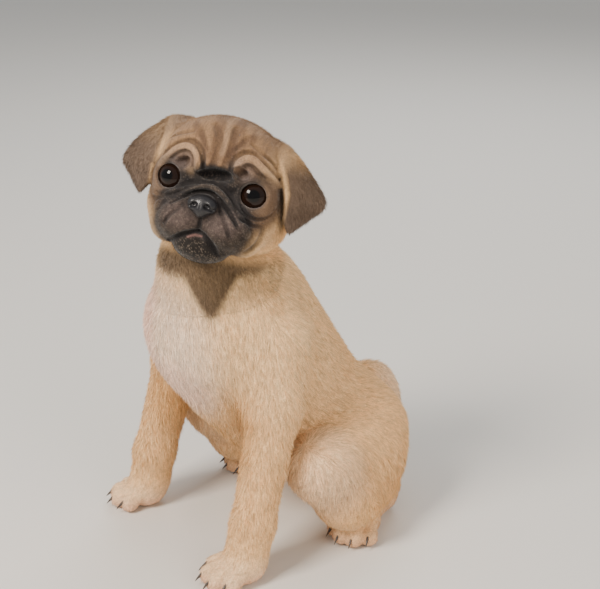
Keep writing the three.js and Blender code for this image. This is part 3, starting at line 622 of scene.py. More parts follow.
LEFT_EAR_ROWS = (
    EarRow((27, -4, 31), (28, 6, 33), (26, 16, 32)),
    EarRow((32.2, -8, 26.8), (36, 5, 30), (32.5, 17, 29)),
    EarRow((36.5, -11, 20.9), (42, 4, 24.5), (39, 17.5, 25.4)),
    EarRow((41.3, -12, 10.2), (48.5, 2, 16), (47.2, 15, 19.6)),
    EarRow((44.3, -11, -1), (54, -1, 2.5), (63.5, 8, 1.4)),
    EarRow((45.4, -9, -10.7), (51.5, -2.5, -8), (57.5, 3, -7.2)),
    EarRow((48.2, -6.5, -17.3), (48.5, -5.5, -17.4), (48.8, -4.5, -17.3)),
)
RIGHT_EAR_ROWS = (
    EarRow((24, -4, 35), (27, 5, 36.5), (30, 14, 36)),
    EarRow((33, -7, 31), (38, 4, 35), (42, 14.5, 34)),
    EarRow((35.6, -9, 23), (44.5, 3, 28.5), (49, 14.5, 28.4)),
    EarRow((37.6, -10, 15.2), (49.5, 1, 20.5), (57.2, 13, 21.6)),
    EarRow((39.4, -10, 7.5), (54, -3, 8.5), (64.9, 6, 5.2)),
    EarRow((41.6, -9, -1.6), (50.5, -5.5, -1), (57.3, 0, -3.3)),
    EarRow((48.1, -7, -11.5), (48.5, -6.5, -11.6), (48.8, -6, -11.5)),
)
EAR_STEPS_ALONG = 40
EAR_STEPS_ACROSS = 24
EAR_REACH = 8.0  # how far off its sheet a flap is felt


class Ear:
    """A thin flap that leaves the skull, folds over and hangs with its tip at the cheek."""

    def __init__(self, side: int) -> None:
        """Lays the flap's middle sheet out as a grid of points in the head's frame.

        Args:
            side: +1 for the puppy's left, -1 for its right.
        """
        rows = [
            [(side * p[0], p[1], p[2]) for p in (row.front, row.middle, row.rear)]
            for row in (LEFT_EAR_ROWS if side > 0 else RIGHT_EAR_ROWS)
        ]
        front, middle, rear = (curve_points([r[k] for r in rows], EAR_STEPS_ALONG) for k in range(3))
        u = np.linspace(0, 1, EAR_STEPS_ACROSS + 1)[None, :, None]
        control = (2 * middle - 0.5 * front - 0.5 * rear)[:, None, :]
        near, far = front[:, None, :], rear[:, None, :]
        self.sheet = (1 - u) ** 2 * near + 2 * u * (1 - u) * control + u**2 * far

    def add_to(self, clay: Clay) -> None:
        """Adds the flap as a thin sheet.

        Args:
            clay: The head's clay.
        """
        n, m = self.sheet.shape[:2]
        corners = [Vector(p) for p in self.sheet.reshape(-1, 3)]
        faces = []
        for j in range(n - 1):
            for i in range(m - 1):
                a = j * m + i
                faces.append((a, a + 1, a + m + 1))
                faces.append((a, a + m + 1, a + m))
        tree = BVHTree.FromPolygons(corners, faces)
        half = EAR_THICKNESS / 2

        def distance(p: np.ndarray) -> np.ndarray:
            """Measures from points to the flap, and gives up past its reach.

            Args:
                p: The points.

            Returns:
                Their signed distances.
            """
            out = np.full(len(p), FAR)
            for k, q in enumerate(p):
                found = tree.find_nearest(Vector(q), EAR_REACH)
                if found[0] is not None:
                    out[k] = found[3] - half
            return out

        flat = self.sheet.reshape(-1, 3)
        low, high = flat.min(0) - half, flat.max(0) + half
        # The flap is felt 6 mm off its box only, so the clay's margin comes off here
        inset = MARGIN - 6
        clay.lumps.append(Lump(distance, low + inset, high - inset, 3.0, 1))


# Folds of the face, as x and z seen from the front of the upright head
ROLL = (
    (-29, -17), (-24.5, -9.5), (-18.5, -4.6), (-11, -1.4), (-4.4, 0.6), (1.8, 1.2),
    (7.6, -1.2), (13.2, -5.6), (18.8, -10.6), (24.3, -16.4), (27.5, -22),
)
ABOVE_ROLL = (
    (-28.5, -9), (-22.5, -4.4), (-15.6, -0.8), (-6, 2.9), (2.7, 4.1),
    (9.4, 2.2), (15.7, -2.9), (21.7, -9), (28.3, -15.6),
)
BELOW_ROLL = (
    (-20, -12.7), (-15, -8.6), (-8.2, -4.8), (-2.6, -2.6), (2.9, -2.4),
    (8.1, -4.8), (13.2, -8.9), (18.5, -13.9), (23, -19.2),
)
BROW_RIGHT = (
    (-33.5, 8), (-29.5, 13.6), (-23.8, 18.4), (-17.9, 21.2), (-13, 20.6),
    (-9.7, 17.8), (-7.9, 13.8), (-7.8, 10.4),
)
BROW_LEFT = (
    (14.8, 9.6), (14.3, 13.9), (16.3, 18.6), (19.9, 21.4), (24.7, 20.5),
    (30.1, 17.2), (34.3, 13.4), (37.6, 8.4),
)
OVER_BROW_RIGHT = (
    (-35, 10.4), (-30.2, 16.6), (-24.5, 22), (-18.1, 25), (-12.1, 24.4),
    (-7.4, 20.6), (-5.2, 16.1), (-4.8, 11),
)
OVER_BROW_LEFT = (
    (12.6, 11), (11.6, 16.3), (13.9, 22), (18.6, 25), (24.2, 24.6),
    (29.6, 21.4), (34.6, 17), (38.4, 11.6),
)
# Each with its radius, its depth and its softness
FOREHEAD_LINES = (
    (((-4.9, 37.7), (1.4, 29.3), (2, 20), (1, 14)), (1.5, -0.3, 3)),
    (((7.5, 38), (9.6, 30.3), (9.8, 21.7), (8, 15)), (1.5, -0.3, 3)),
    (((-12, 33), (-9, 28), (-4.6, 22)), (1.0, -0.3, 2.2)),
    (((16, 34), (14.6, 29.5), (11.4, 25)), (1.0, -0.3, 2.2)),
    (((-36, 20), (-26, 28), (-17, 31)), (0.8, 0.1, 2.0)),
    (((36, 18), (28, 25.5), (20, 30)), (0.8, 0.1, 2.0)),
)
CHEEK_LINES = (
    (((-5.8, 0.8), (-13, -2.6), (-18.8, -6.6), (-26, -9.4), (-33, -8.2)), (1.0, 0.2, 1.0)),
    (
        ((16.6, 3), (18.4, -2), (22.2, -7.8), (27.3, -11.7), (32.1, -12.8), (37, -10), (39.3, -4.4)),
        (1.0, 0.2, 1.0),
    ),
    (((14.6, 0), (18.5, -7.6), (23, -13), (29.3, -16.6), (34.5, -17)), (1.0, 0.2, 1.2)),
    (((-27, -11), (-33, -13), (-37, -12)), (0.8, 0.1, 1.4)),
    (((29, -34), (35, -26), (36, -19)), (1.2, -0.4, 3)),
    (((-12, -12), (-18, -19), (-22, -27)), (0.8, 0.0, 1.6)),
    (((11.5, -12), (16.5, -19), (20, -27)), (0.8, 0.0, 1.6)),
)
UNDER_BROW_RIGHT = ((-27.5, 11.4), (-22.2, 16), (-17, 18.4), (-13.1, 17.2), (-11.5, 11))
UNDER_BROW_LEFT = ((17.6, 9), (17.6, 13), (19.8, 17), (23.4, 17.2), (27.4, 14.6), (32.4, 11))
MOUTH_RIGHT = ((-0.3, -25.9), (-4.6, -27.8), (-8.7, -29.7), (-14, -33), (-20, -36.6))
MOUTH_LEFT = ((0.2, -26), (4.3, -28.1), (8, -31.4), (10.9, -34.9), (13, -38.4))


class Head:
    """The head, as clay in its own upright frame with the nose towards -y."""

    def __init__(self) -> None:
        """Works the head's clay."""
        self.clay = Clay()
        self.skull()
        self.muzzle()
        self.nose_roll()
        self.brow_folds()
        self.cheek_folds()
        self.mouth()
        self.lids()
        for s in both_sides():
            Ear(s).add_to(self.clay)

    def skull(self) -> None:
        """Adds the skull, forehead, cheeks and brows."""
        clay = self.clay
        clay.egg((0, 6, 8.5), (42, 39, 33.5), 8)
        clay.egg((0, -9, 17), (32, 25, 24), 12)
        for s in both_sides():
            clay.egg((s * 23.5, -2, -14), (19, 27, 22), 10)
            clay.egg((s * 26.5, 12, -16), (17, 21, 19), 8)
            clay.egg((s * 20, -20, 18), (13, 9.5, 8), 6)

    def muzzle(self) -> None:
        """Adds the short muzzle, chin and lip cushions."""
        clay = self.clay
        clay.egg((0, -22, -13), (20, 17.5, 15), 6)
        clay.egg((0, -21, -36), (18, 15.5, 10.5), 5)
        for s in both_sides():
            clay.egg((s * 13, -25.5, -22), (16.5, 15, 14), 4, (s * -8, 0, s * 8))
            clay.egg((s * 24, -17, -25), (11.5, 13, 13.5), 5)

    def nose_roll(self) -> None:
        """Adds the roll of skin over the nose, the hollow above it and the creases on both sides of it."""
        clay = self.clay
        clay.fold(ROLL, 4.6, 1.9, 2.6)
        clay.egg((3.2, -34.5, 8.2), (11, 8, 4), 3, (0, 0, -6), -1)
        clay.crease(ABOVE_ROLL, 1.7, 0.6, 1.2)
        clay.crease(BELOW_ROLL, 1.5, 0.5, 1.2)
        clay.crease([(-13, -8), (-7, -3.8), (-1, -2.4), (5, -3.2), (9.5, -8.4), (11.5, -13)], 1.0, 0.4, 1.0)

    def brow_folds(self) -> None:
        """Raises the two pale eyebrow folds and presses the grooves of the forehead."""
        clay = self.clay
        clay.fold(BROW_RIGHT, 3.2, 0.6, 1.8)
        clay.fold(BROW_LEFT, 3.2, 0.6, 1.8)
        clay.crease(OVER_BROW_RIGHT, 1.6, 0.6, 1.4)
        clay.crease(OVER_BROW_LEFT, 1.6, 0.6, 1.4)
        clay.crease(UNDER_BROW_RIGHT, 1.3, 0.2, 1.0)
        clay.crease(UNDER_BROW_LEFT, 1.3, 0.2, 1.0)
        for s in both_sides():
            clay.egg((s * 18.4, -32, 12.2), (5, 6, 3.2), 1.6, (0, 0, s * 30), -1)
        for marks, sizes in FOREHEAD_LINES:
            clay.crease(marks, *sizes)

    def cheek_folds(self) -> None:
        """Presses the bags under the eyes and the lines that run round the cheeks."""
        for marks, sizes in CHEEK_LINES:
            self.clay.crease(marks, *sizes)

    def mouth(self) -> None:
        """Presses the split under the nose and the line between the lips."""
        clay = self.clay
        clay.crease([(0.6, -15), (0.1, -21.8), (-0.3, -26)], 0.8, 0.1, 0.9)
        clay.crease(MOUTH_RIGHT, 1.7, 0.3, 1.2)
        clay.crease(MOUTH_LEFT, 1.7, 0.3, 1.2)

    def lids(self) -> None:
        """Swells the skin round each eye, opens the lids and rolls their margins."""
        clay = self.clay
        for s in both_sides():
            eye, turn = eye_place(s), (s * EYE_SPLAY, 0, 0)
            clay.egg(eye.centre, (EYE_RADIUS + 3.4, EYE_RADIUS + 1.2, EYE_RADIUS + 2.6), 5, turn)
            out = math.sqrt(EYE_RADIUS**2 - EYE_OPENING**2) + 0.6
            ring = []
            for i in range(13):
                a = i / 12 * 2 * math.pi
                wide = (EYE_OPENING + 0.8) * 1.06 * math.cos(a)
                high = (EYE_OPENING + 0.8) * 0.96 * math.sin(a)
                ring.append(eye.centre + eye.way * out + eye.across * wide + eye.upward * high)
            opening = (EYE_OPENING * 1.06, 6.5, EYE_OPENING * 0.96)
            clay.egg(eye.centre + eye.way * (out + 4), opening, 1.2, turn, -1)
            clay.cord(ring, lambda t: 1.25, 1.0, 1, 24)
            # Room for the eyeball behind the lids
            clay.egg(eye.centre, (EYE_RADIUS - 0.2,) * 3, 0.4, sign=-1)


class Side(Enum):
    """Which part of the puppy a skin covers."""

    HEAD = "head"
    BODY = "body"


# Where the skins of head and body part, and the way up the neck there
NECK_CUT = np.array([4.0, -74.0, 190.0])
NECK_WAY = unit(np.array([0.12, -0.28, 0.95]))


def up_neck(points: np.ndarray) -> np.ndarray:
    """Measures how far working points lie above the cut at the neck."""
    return (points - NECK_CUT) @ NECK_WAY


class Flesh:
    """The whole puppy's clay: the head melted onto the body, as a distance in the working frame."""

    def __init__(self) -> None:
        """Works the body and the head."""
        self.body = Body()
        self.head = Head()

    def at(self, points: np.ndarray, part: Side) -> np.ndarray:
        """Gives the distance to the skin of one part, in the working frame.

        Args:
            points: Points in millimetres.
            part: The part of the skin; each is closed off inside the other at the neck.

        Returns:
            Signed distances, negative inside.
        """
        d = self.body.clay.at(points)
        above = up_neck(points)
        depth = np.full(len(points), COAT_DEPTH_BODY)
        near = above > -24
        if near.any():
            index = np.nonzero(near)[0]
            local = to_head(points[index])
            head = self.head.clay.at(local)
            d[index] = melt(d[index], head, 7.0, 1)
            face = smooth_step(30, -20, local[:, 1]) * smooth_step(-30, -18, above[index] - 36)
            depth[index] = COAT_DEPTH_BODY + (COAT_DEPTH_FACE - COAT_DEPTH_BODY) * face
        d = d + depth
        if part is Side.HEAD:
            return np.maximum(d, -above)
        return np.maximum(d + 0.35 * smooth_step(-3, 2, above), above - 7)


def pinched_patterns() -> np.ndarray:
    """Finds the corner patterns in which a cell's inside or outside falls into two groups.

    Returns:
        A truth value for each of the 256 patterns of a cell's eight corners.
    """
    pinched = np.zeros(256, bool)
    for mask in range(256):
        for group in (mask, 255 - mask):
            first = next((c for c in range(8) if group >> c & 1), None)
            if first is None:
                continue
            seen = 1 << first
            for _ in range(8):
                for c in range(8):
                    if seen >> c & 1:
                        for bit in (1, 2, 4):
                            seen |= group & (1 << (c ^ bit))
            if seen != group:
                pinched[mask] = True
    return pinched


PINCHED = pinched_patterns()
WANDER = 0.72  # how far a skin's point may leave the middle of its cell, in cells


def corner_slices(shape: Sequence[int]) -> list[tuple[slice, ...]]:
    """Gives the slices of a grid that hold each of the eight corners of every cell."""
    return [tuple(slice(c >> k & 1, n - 1 + (c >> k & 1)) for k, n in enumerate(shape)) for c in range(8)]


def part_pinches(values: np.ndarray) -> None:
    """Opens or closes every pinched cell at its weakest corner, so that the skin never touches itself.

    Args:
        values: The distances at the corners of the grid, which are changed in place.
    """
    for _ in range(30):
        inside = (values < 0).astype(np.uint8)
        mask = np.zeros(tuple(s - 1 for s in values.shape), np.uint8)
        for c, block in enumerate(corner_slices(values.shape)):
            mask |= inside[block] << c
        found = np.argwhere(PINCHED[mask])
        if not len(found):
            return
        for i, j, k in found:
            cell = values[i : i + 2, j : j + 2, k : k + 2]
            spot = np.unravel_index(np.abs(cell).argmin(), cell.shape)
            cell[spot] = 1.0 if cell[spot] < 0 else -1.0


def gradient(at: Distance, points: np.ndarray, h: float = 0.15) -> np.ndarray:
    """Measures the slope of a distance.

    Args:
        at: The signed distance.
        points: Where it is measured.
        h: How far to each side it looks.

    Returns:
        The slope at each point.
    """
    out = np.empty_like(points)
    for axis in range(3):
        step = np.zeros(3)
        step[axis] = h
        out[:, axis] = (at(points + step) - at(points - step)) / (2 * h)
    return out


def settle(at: Distance, points: np.ndarray, reach: float, rounds: int = 4) -> np.ndarray:
    """Moves points onto a surface.

    Args:
        at: The signed distance to it.
        points: The points near it.
        reach: How far each may move along each axis.
        rounds: How often each is moved.

    Returns:
        The moved points.
    """
    home = points.copy()
    for _ in range(rounds):
        d = at(points)
        g = gradient(at, points)
        size = np.maximum(0.2, (g * g).sum(1))
        points = points - (d / size)[:, None] * g
        points = np.clip(points, home - reach, home + reach)
    return points


def draw_skin(at: Distance, low: Point, high: Point, cell: float) -> tuple[np.ndarray, np.ndarray]:
    """Draws the surface of a distance over a grid of cells.

    Args:
        at: The signed distance.
        low: The lowest corner of the grid.
        high: The highest corner of the grid.
        cell: The size of a cell.

    Returns:
        The points and the triangles.
    """
    counts = [int(math.ceil((h - l) / cell)) + 1 for l, h in zip(low, high)]
    coarse = 4
    axes = [l + cell * np.arange(n) for l, n in zip(low, counts)]
    # A coarse look first, so that the fine one only visits blocks near the surface
    blocks = [np.arange(0, n, coarse) for n in counts]
    grid = np.stack(np.meshgrid(*[a[b] for a, b in zip(axes, blocks)], indexing="ij"), -1)
    rough = at(grid.reshape(-1, 3)).reshape(grid.shape[:3])
    values = np.repeat(np.repeat(np.repeat(rough, coarse, 0), coarse, 1), coarse, 2)
    values = np.ascontiguousarray(values[: counts[0], : counts[1], : counts[2]])
    # Rough distances may be off by the diagonal of a block and by the clay's soft joins
    close = np.abs(values) < cell * coarse * 2.6 + 3
    index = np.argwhere(close)
    points = np.stack([axes[k][index[:, k]] for k in range(3)], 1)
    values[close] = at(points)
    part_pinches(values)
    inside = values < 0
    total = np.zeros(tuple(n - 1 for n in counts), np.uint8)
    for block in corner_slices(counts):
        total += inside[block]
    cells = np.argwhere((total > 0) & (total < 8))
    number = np.full(total.shape, -1, np.int64)
    number[tuple(cells.T)] = np.arange(len(cells))
    home = np.array(low) + cell * (cells + 0.5)
    spots = settle(at, home, WANDER * cell)
    faces = []
    for axis in range(3):
        u, v = (axis + 1) % 3, (axis + 2) % 3
        here = [slice(0, n) for n in counts]
        there = [slice(0, n) for n in counts]
        here[axis], there[axis] = slice(0, counts[axis] - 1), slice(1, counts[axis])
        crossing = inside[tuple(here)] != inside[tuple(there)]
        edges = np.argwhere(crossing)
        edges = edges[(edges[:, u] > 0) & (edges[:, v] > 0)]
        edges = edges[(edges[:, u] < counts[u] - 1) & (edges[:, v] < counts[v] - 1)]
        du, dv = np.zeros(3, int), np.zeros(3, int)
        du[u], dv[v] = 1, 1
        quad = np.stack([number[tuple((edges - s).T)] for s in (du + dv, dv, 0 * du, du)], 1)
        flip = ~inside[tuple(edges.T)]
        quad[flip] = quad[flip][:, ::-1]
        faces.append(quad[:, [0, 1, 2]])
        faces.append(quad[:, [0, 2, 3]])
    return spots, np.concatenate(faces)


def divide(points: np.ndarray, faces: np.ndarray, chosen: np.ndarray) -> tuple[np.ndarray, np.ndarray]:
    """Splits in four the triangles whose corners are all chosen, and fits their neighbours to them.

    Args:
        points: The points.
        faces: The triangles.
        chosen: A truth value for each point.

    Returns:
        The new points and triangles.
    """
    edges = np.concatenate([faces[:, [0, 1]], faces[:, [1, 2]], faces[:, [2, 0]]])
    split = chosen[edges[:, 0]] & chosen[edges[:, 1]]
    key = np.sort(edges, axis=1)
    code = key[:, 0] * np.int64(len(points)) + key[:, 1]
    unique, inverse = np.unique(code[split], return_inverse=True)
    a, b = unique // len(points), unique % len(points)
    middle = 0.5 * (points[a] + points[b])
    mark = np.full(len(edges), -1, np.int64)
    mark[split] = inverse + len(points)
    n = len(faces)
    mids = np.stack([mark[:n], mark[n : 2 * n], mark[2 * n :]], 1)
    count = (mids >= 0).sum(1)
    out = [faces[count == 0]]
    f, m = faces[count == 3], mids[count == 3]
    out += [
        np.stack([f[:, 0], m[:, 0], m[:, 2]], 1),
        np.stack([m[:, 0], f[:, 1], m[:, 1]], 1),
        np.stack([m[:, 2], m[:, 1], f[:, 2]], 1),
        np.stack([m[:, 0], m[:, 1], m[:, 2]], 1),
    ]
    for shift in range(3):
        turn = [(shift + k) % 3 for k in range(3)]
        f, m = faces[:, turn], mids[:, turn]
        one = (count == 1) & (m[:, 0] >= 0)
        out.append(np.stack([f[one, 0], m[one, 0], f[one, 2]], 1))
        out.append(np.stack([m[one, 0], f[one, 1], f[one, 2]], 1))
        two = (count == 2) & (m[:, 0] >= 0) & (m[:, 1] >= 0)
        out.append(np.stack([m[two, 0], f[two, 1], m[two, 1]], 1))
        out.append(np.stack([f[two, 0], m[two, 0], m[two, 1]], 1))
        out.append(np.stack([f[two, 0], m[two, 1], f[two, 2]], 1))
    return np.concatenate([points, middle]), np.concatenate(out)


def mesh_object(name: str, points: np.ndarray, faces: np.ndarray) -> bpy.types.Object:
    """Makes an object in the row frame.

    Args:
        name: Its name.
        points: Its points in the working frame.
        faces: Its triangles.

    Returns:
        The object, smooth shaded and linked to the scene.
    """
    mesh = bpy.data.meshes.new(name)
    mesh.vertices.add(len(points))
    mesh.vertices.foreach_set("co", to_row(points).astype(np.float32).ravel())
    mesh.loops.add(3 * len(faces))
    mesh.loops.foreach_set("vertex_index", faces.astype(np.int32).ravel())
    mesh.polygons.add(len(faces))
    mesh.polygons.foreach_set("loop_start", np.arange(0, 3 * len(faces), 3, dtype=np.int32))
    mesh.polygons.foreach_set("use_smooth", np.ones(len(faces), bool))
    mesh.update(calc_edges=True)
    mesh.validate()
    made = bpy.data.objects.new(name, mesh)
    bpy.context.scene.collection.objects.link(made)
    return made


def blend(base: np.ndarray, tone: str, amount: np.ndarray) -> np.ndarray:
    """Mixes a tone over base colours.

    Args:
        base: The colour of each point.
        tone: The tone as a hex colour.
        amount: How much of it each point gets, from 0 to 1.

    Returns:
        The mixed colours.
    """
    a = np.clip(amount, 0, 1)[:, None]
    return base * (1 - a) + np.array(linear(tone)[:3]) * a


def spot(local: np.ndarray, centre: Point, radii: Point, edge: float = 0.35) -> np.ndarray:
    """Gives 1 inside an egg-shaped area and fades to 0 at its edge."""
    q = np.linalg.norm((local - np.array(centre)) / np.array(radii), axis=1)
    return smooth_step(1 + edge, 1 - edge, q)


def near_line(local: np.ndarray, marks: Marks, width: float) -> np.ndarray:
    """Finds the points of the face that lie near a line seen from the front.

    Args:
        local: Points in the head's frame.
        marks: The line, as x and z.
        width: How far off the line it fades out.

    Returns:
        1 on the line, down to 0 at the width.
    """
    best = np.full(len(local), 1e9)
    flat = local[:, [0, 2]]
    for a, b in zip(marks[:-1], marks[1:]):
        p, q = np.array(a, float), np.array(b, float) - np.array(a, float)
        d = flat - p
        t = np.clip(d @ q / float(q @ q), 0, 1)
        best = np.minimum(best, np.linalg.norm(d - t[:, None] * q, axis=1))
    return smooth_step(width, width * 0.25, best) * smooth_step(0, -8, local[:, 1])


class Markings:
    """The puppy's colours, with a painted shadow under the chin and painted shade in the face's creases,
    worked out from the place on its body.
    """

    fawn = "#ecc38e"
    pale_fawn = "#f0d2a4"
    cream = "#f2dcc4"
    pinkish = "#f0cfc0"
    deep_fawn = "#cf9a5a"
    # painted shadow that the head casts under the chin
    throat_shadow = "#3d2b1f"
    dusk = "#85664a"
    deep_dusk = "#573f30"
    mask = "#221d1c"
    mask_grey = "#5f514c"
    lid = "#4d423c"
    chin = "#1c1815"
    lip_pink = "#b98a82"
    pale_hair = "#8f8173"
    black = "#171313"
    brow = "#a1866b"
    ear = "#74604f"
    ear_dark = "#57493f"
    toe_pink = "#e5b099"
    # Dark streaks of the forehead, as x and z from the front, each with its width
    streaks = (
        ([(-3, 42), (0, 30), (1, 16)], 5),
        ([(9, 42), (10, 30), (8, 18)], 5),
        ([(-17, 35), (-10, 29), (-4, 20)], 4),
        ([(19, 34), (15, 29), (9, 22)], 4),
    )

    def body(self, points: np.ndarray) -> np.ndarray:
        """Colours the body.

        Args:
            points: Points in the working frame.

        Returns:
            The colour of each point.
        """
        x, y, z = points.T
        tone = np.tile(np.array(linear(self.fawn)[:3]), (len(points), 1))
        tone = blend(tone, self.pale_fawn, 0.55 * smooth_step(20, -40, y) * smooth_step(70, 150, z))
        chest = spot(points, (-6, -122, 140), (44, 34, 60), 0.4)
        tone = blend(tone, self.cream, 0.95 * chest)
        tone = blend(tone, self.pinkish, 0.75 * spot(points, (-20, -124, 160), (16, 26, 30), 0.5))
        tone = blend(tone, self.pinkish, 0.5 * spot(points, (4, -122, 118), (26, 26, 24), 0.5))
        for s in both_sides():
            tone = blend(tone, self.cream, 0.5 * spot(points, (s * 66, -46, 56), (26, 26, 26), 0.6))
            tone = blend(tone, self.deep_fawn, 0.55 * spot(points, (s * 44, -88, 92), (16, 26, 26), 0.6))
            tone = blend(tone, self.deep_fawn, 0.45 * spot(points, (s * 50, 40, 22), (26, 26, 26), 0.6))
        tone = blend(tone, self.cream, 0.5 * spot(points, (0, 66, 60), (26, 30, 34), 0.4))
        paws = smooth_step(26, 8, z)
        tone = blend(tone, self.cream, 0.35 * paws)
        tone = blend(tone, self.toe_pink, 0.4 * smooth_step(13, 3, z))
        behind = smooth_step(-60, -20, y) * (1 - smooth_step(-70, -112, y))
        tone = blend(tone, self.deep_fawn, 0.35 * behind * smooth_step(60, 30, z))
        # Painted shadow that the head casts under the chin, in a wedge down the front of the neck
        across = np.abs((x - 33.7) * 0.66 + (y + 109.3) * 0.75)
        shadow_wedge = smooth_step(3, -3, across - 0.52 * (z - 170)) * smooth_step(170, 180, z)
        shadow_wedge = np.maximum(shadow_wedge, smooth_step(196, 206, z) * smooth_step(44, 30, across))
        return blend(tone, self.throat_shadow, 0.85 * shadow_wedge * smooth_step(-52, -70, y))

    def head(self, points: np.ndarray) -> np.ndarray:
        """Colours the head and neck.

        Args:
            points: Points in the working frame.

        Returns:
            The colour of each point.
        """
        local = to_head(points)
        x, y, z = local.T
        tone = self.body(points)
        on_head = smooth_step(-48, -38, z) * smooth_step(-30, -10, up_neck(points) - 20)
        tone = blend(tone, self.fawn, on_head)
        face = smooth_step(24, 2, y)
        dusky = smooth_step(44, 28, np.abs(x)) * smooth_step(2, 14, z) * smooth_step(34, 6, y)
        tone = blend(tone, self.dusk, 0.9 * dusky * on_head)
        for line, width in self.streaks:
            tone = blend(tone, self.deep_dusk, 0.5 * near_line(local, line, width))
        tone = blend(tone, self.brow, 0.4 * near_line(local, [(3, 42), (5, 32), (5, 22)], 3))
        grain = np.sin(x * 1.9 + 2 * np.sin(z * 0.21)) * np.sin(x * 0.83 - z * 0.11)
        tone = blend(tone, self.deep_dusk, 0.3 * dusky * on_head * smooth_step(-0.1, 0.7, grain))
        mask = spot(local, (0, -34, -20), (35, 36, 31), 0.2)
        tone = blend(tone, self.mask, 0.98 * mask)
        for s in both_sides():
            centre = eye_place(s).centre
            ring = spot(local, centre + np.array([s * 0.5, -3, -4]), (19, 22, 18.5), 0.2)
            tone = blend(tone, self.mask, 0.95 * ring)
            tone = blend(tone, self.mask_grey, 0.75 * spot(local, (s * 13, -40, -19), (11, 16, 8), 0.6))
            tone = blend(tone, self.mask_grey, 0.6 * spot(local, (s * 18, -30, 14), (9, 14, 6.5), 0.4))
            tone = blend(tone, self.mask, 0.8 * spot(local, (s * 37, -16, 1), (4.5, 10, 9), 0.5))
            tone = blend(tone, self.dusk, 0.45 * spot(local, (s * 36, -14, -8), (10, 18, 24), 0.5) * face)
            inner = centre + np.array([-s * 10, -8, 1])
            tone = blend(tone, self.black, 0.8 * spot(local, inner, (6, 8, 5), 0.5))
            rim = np.linalg.norm(local - centre, axis=1)
            below = smooth_step(0, -7, z - centre[2])
            tone = blend(tone, self.lid, (0.2 + 0.6 * below) * smooth_step(13.4, 12.6, rim))
        tone = blend(tone, self.brow, 0.3 * near_line(local, BROW_RIGHT[:6], 3.4))
        tone = blend(tone, self.brow, 0.3 * near_line(local, BROW_LEFT[1:], 3.4))
        # Painted shade along the crease above the nose roll
        tone = blend(tone, self.black, 0.3 * near_line(local, ABOVE_ROLL, 2.4))
        # Painted shadow in the deep hollow of the stop above the nose roll
        tone = blend(tone, self.black, spot(local, (3.2, -31, 8.2), (14, 12, 6.4), 0.3))
        # Painted shade in the split under the nose
        tone = blend(tone, self.black, 0.7 * near_line(local, [(0.6, -15), (-0.3, -26)], 1.4))
        chin = spot(local, (0, -34, -41), (24, 22, 10), 0.3)
        tone = blend(tone, self.chin, 0.85 * chin)
        pale = np.random.default_rng(7).random(len(points)) > 0.88
        tone = blend(tone, self.pale_hair, 0.4 * chin * pale)
        tone = blend(tone, self.pale_hair, 0.3 * mask * pale)
        blotch = np.sin(0.9 * x + 1.3 * np.sin(0.5 * z)) * np.sin(0.8 * z + 1.1 * np.sin(0.6 * x))
        tone = blend(tone, self.black, 0.3 * mask * smooth_step(-0.2, 0.8, blotch))
        # Painted shade along the line between the lips
        tone = blend(tone, self.black, 0.8 * near_line(local, MOUTH_RIGHT, 2.6))
        tone = blend(tone, self.black, 0.8 * near_line(local, MOUTH_LEFT, 2.6))
        lip = [(-6, -30.6), (-2, -28.8), (2, -28.8)]
        tone = blend(tone, self.lip_pink, 0.6 * near_line(local, lip, 1.0))
        tone = blend(tone, self.black, 0.6 * spot(local, (0.5, -40, -10.5), (13, 12, 9), 0.35))
        for s in both_sides():
            off = np.linalg.norm((local - np.array([0, 6, 8.5])) / np.array([42, 39, 33.5]), axis=1)
            outside = np.where(z < 6, smooth_step(42, 44.5, s * x - (1.5 if s > 0 else 0)), 1.0)
            flap = smooth_step(1.02, 1.12, off) * outside * smooth_step(24, 28, s * x)
            flap = flap * smooth_step(-14, -11, y) * smooth_step(-26, -20, z)
            flap = flap * (1 - 0.6 * smooth_step(14, 30, z) * (0.4 if s < 0 else 1))
            tone = blend(tone, self.ear, flap)
            tone = blend(tone, self.ear_dark, 0.5 * flap * smooth_step(20, -12, z))
        return tone


class Kind(Enum):
    """The kinds of value that a piece keeps for each point."""

    COLOUR = ("FLOAT_COLOR", "color")
    VECTOR = ("FLOAT_VECTOR", "vector")
    NUMBER = ("FLOAT", "value")


def keep_values(piece: bpy.types.Object, name: str, kind: Kind, values: np.ndarray) -> None:
    """Keeps a value for each point of a piece, for its finish and for the hairs that grow there.

    Args:
        piece: The piece.
        name: The value's name.
        kind: What kind of value it is.
        values: The values, by point.
    """
    data_type, part = kind.value
    attribute = piece.data.attributes.new(name, data_type, "POINT")
    attribute.data.foreach_set(part, values.astype(np.float32).ravel())


Inputs = dict[str | int, object]
Socket = bpy.types.NodeSocket


class Nodes:
    """A node tree, built up one node after another."""

    def __init__(self, tree: bpy.types.NodeTree) -> None:
        """Empties the tree."""
        self.tree = tree
        tree.nodes.clear()

    def add(self, node_type: str, inputs: Inputs | None = None, **settings: object) -> bpy.types.Node:
        """Adds a node with its settings, values and links.

        Args:
            node_type: The node's type name.
            inputs: Values or sockets for its inputs, by name or number.
            settings: Properties to set on the node.

        Returns:
            The node.
        """
        node = self.tree.nodes.new(node_type)
        for key, value in settings.items():
            setattr(node, key, value)
        for key, value in (inputs or {}).items():
            if isinstance(value, Socket):
                self.tree.links.new(value, node.inputs[key])
            else:
                node.inputs[key].default_value = value
        return node

    def vector(self, operation: str, first: object, second: object = None) -> Socket:
        """Adds a step of vector arithmetic.

        Args:
            operation: The step's name.
            first: The vector it starts from.
            second: The other vector, or the number that scales the first.

        Returns:
            The result.
        """
        inputs: Inputs = {0: first}
        if second is not None:
            inputs["Scale" if operation == "SCALE" else 1] = second
        node = self.add("ShaderNodeVectorMath", inputs, operation=operation)
        return node.outputs["Value" if operation == "DOT_PRODUCT" else "Vector"]


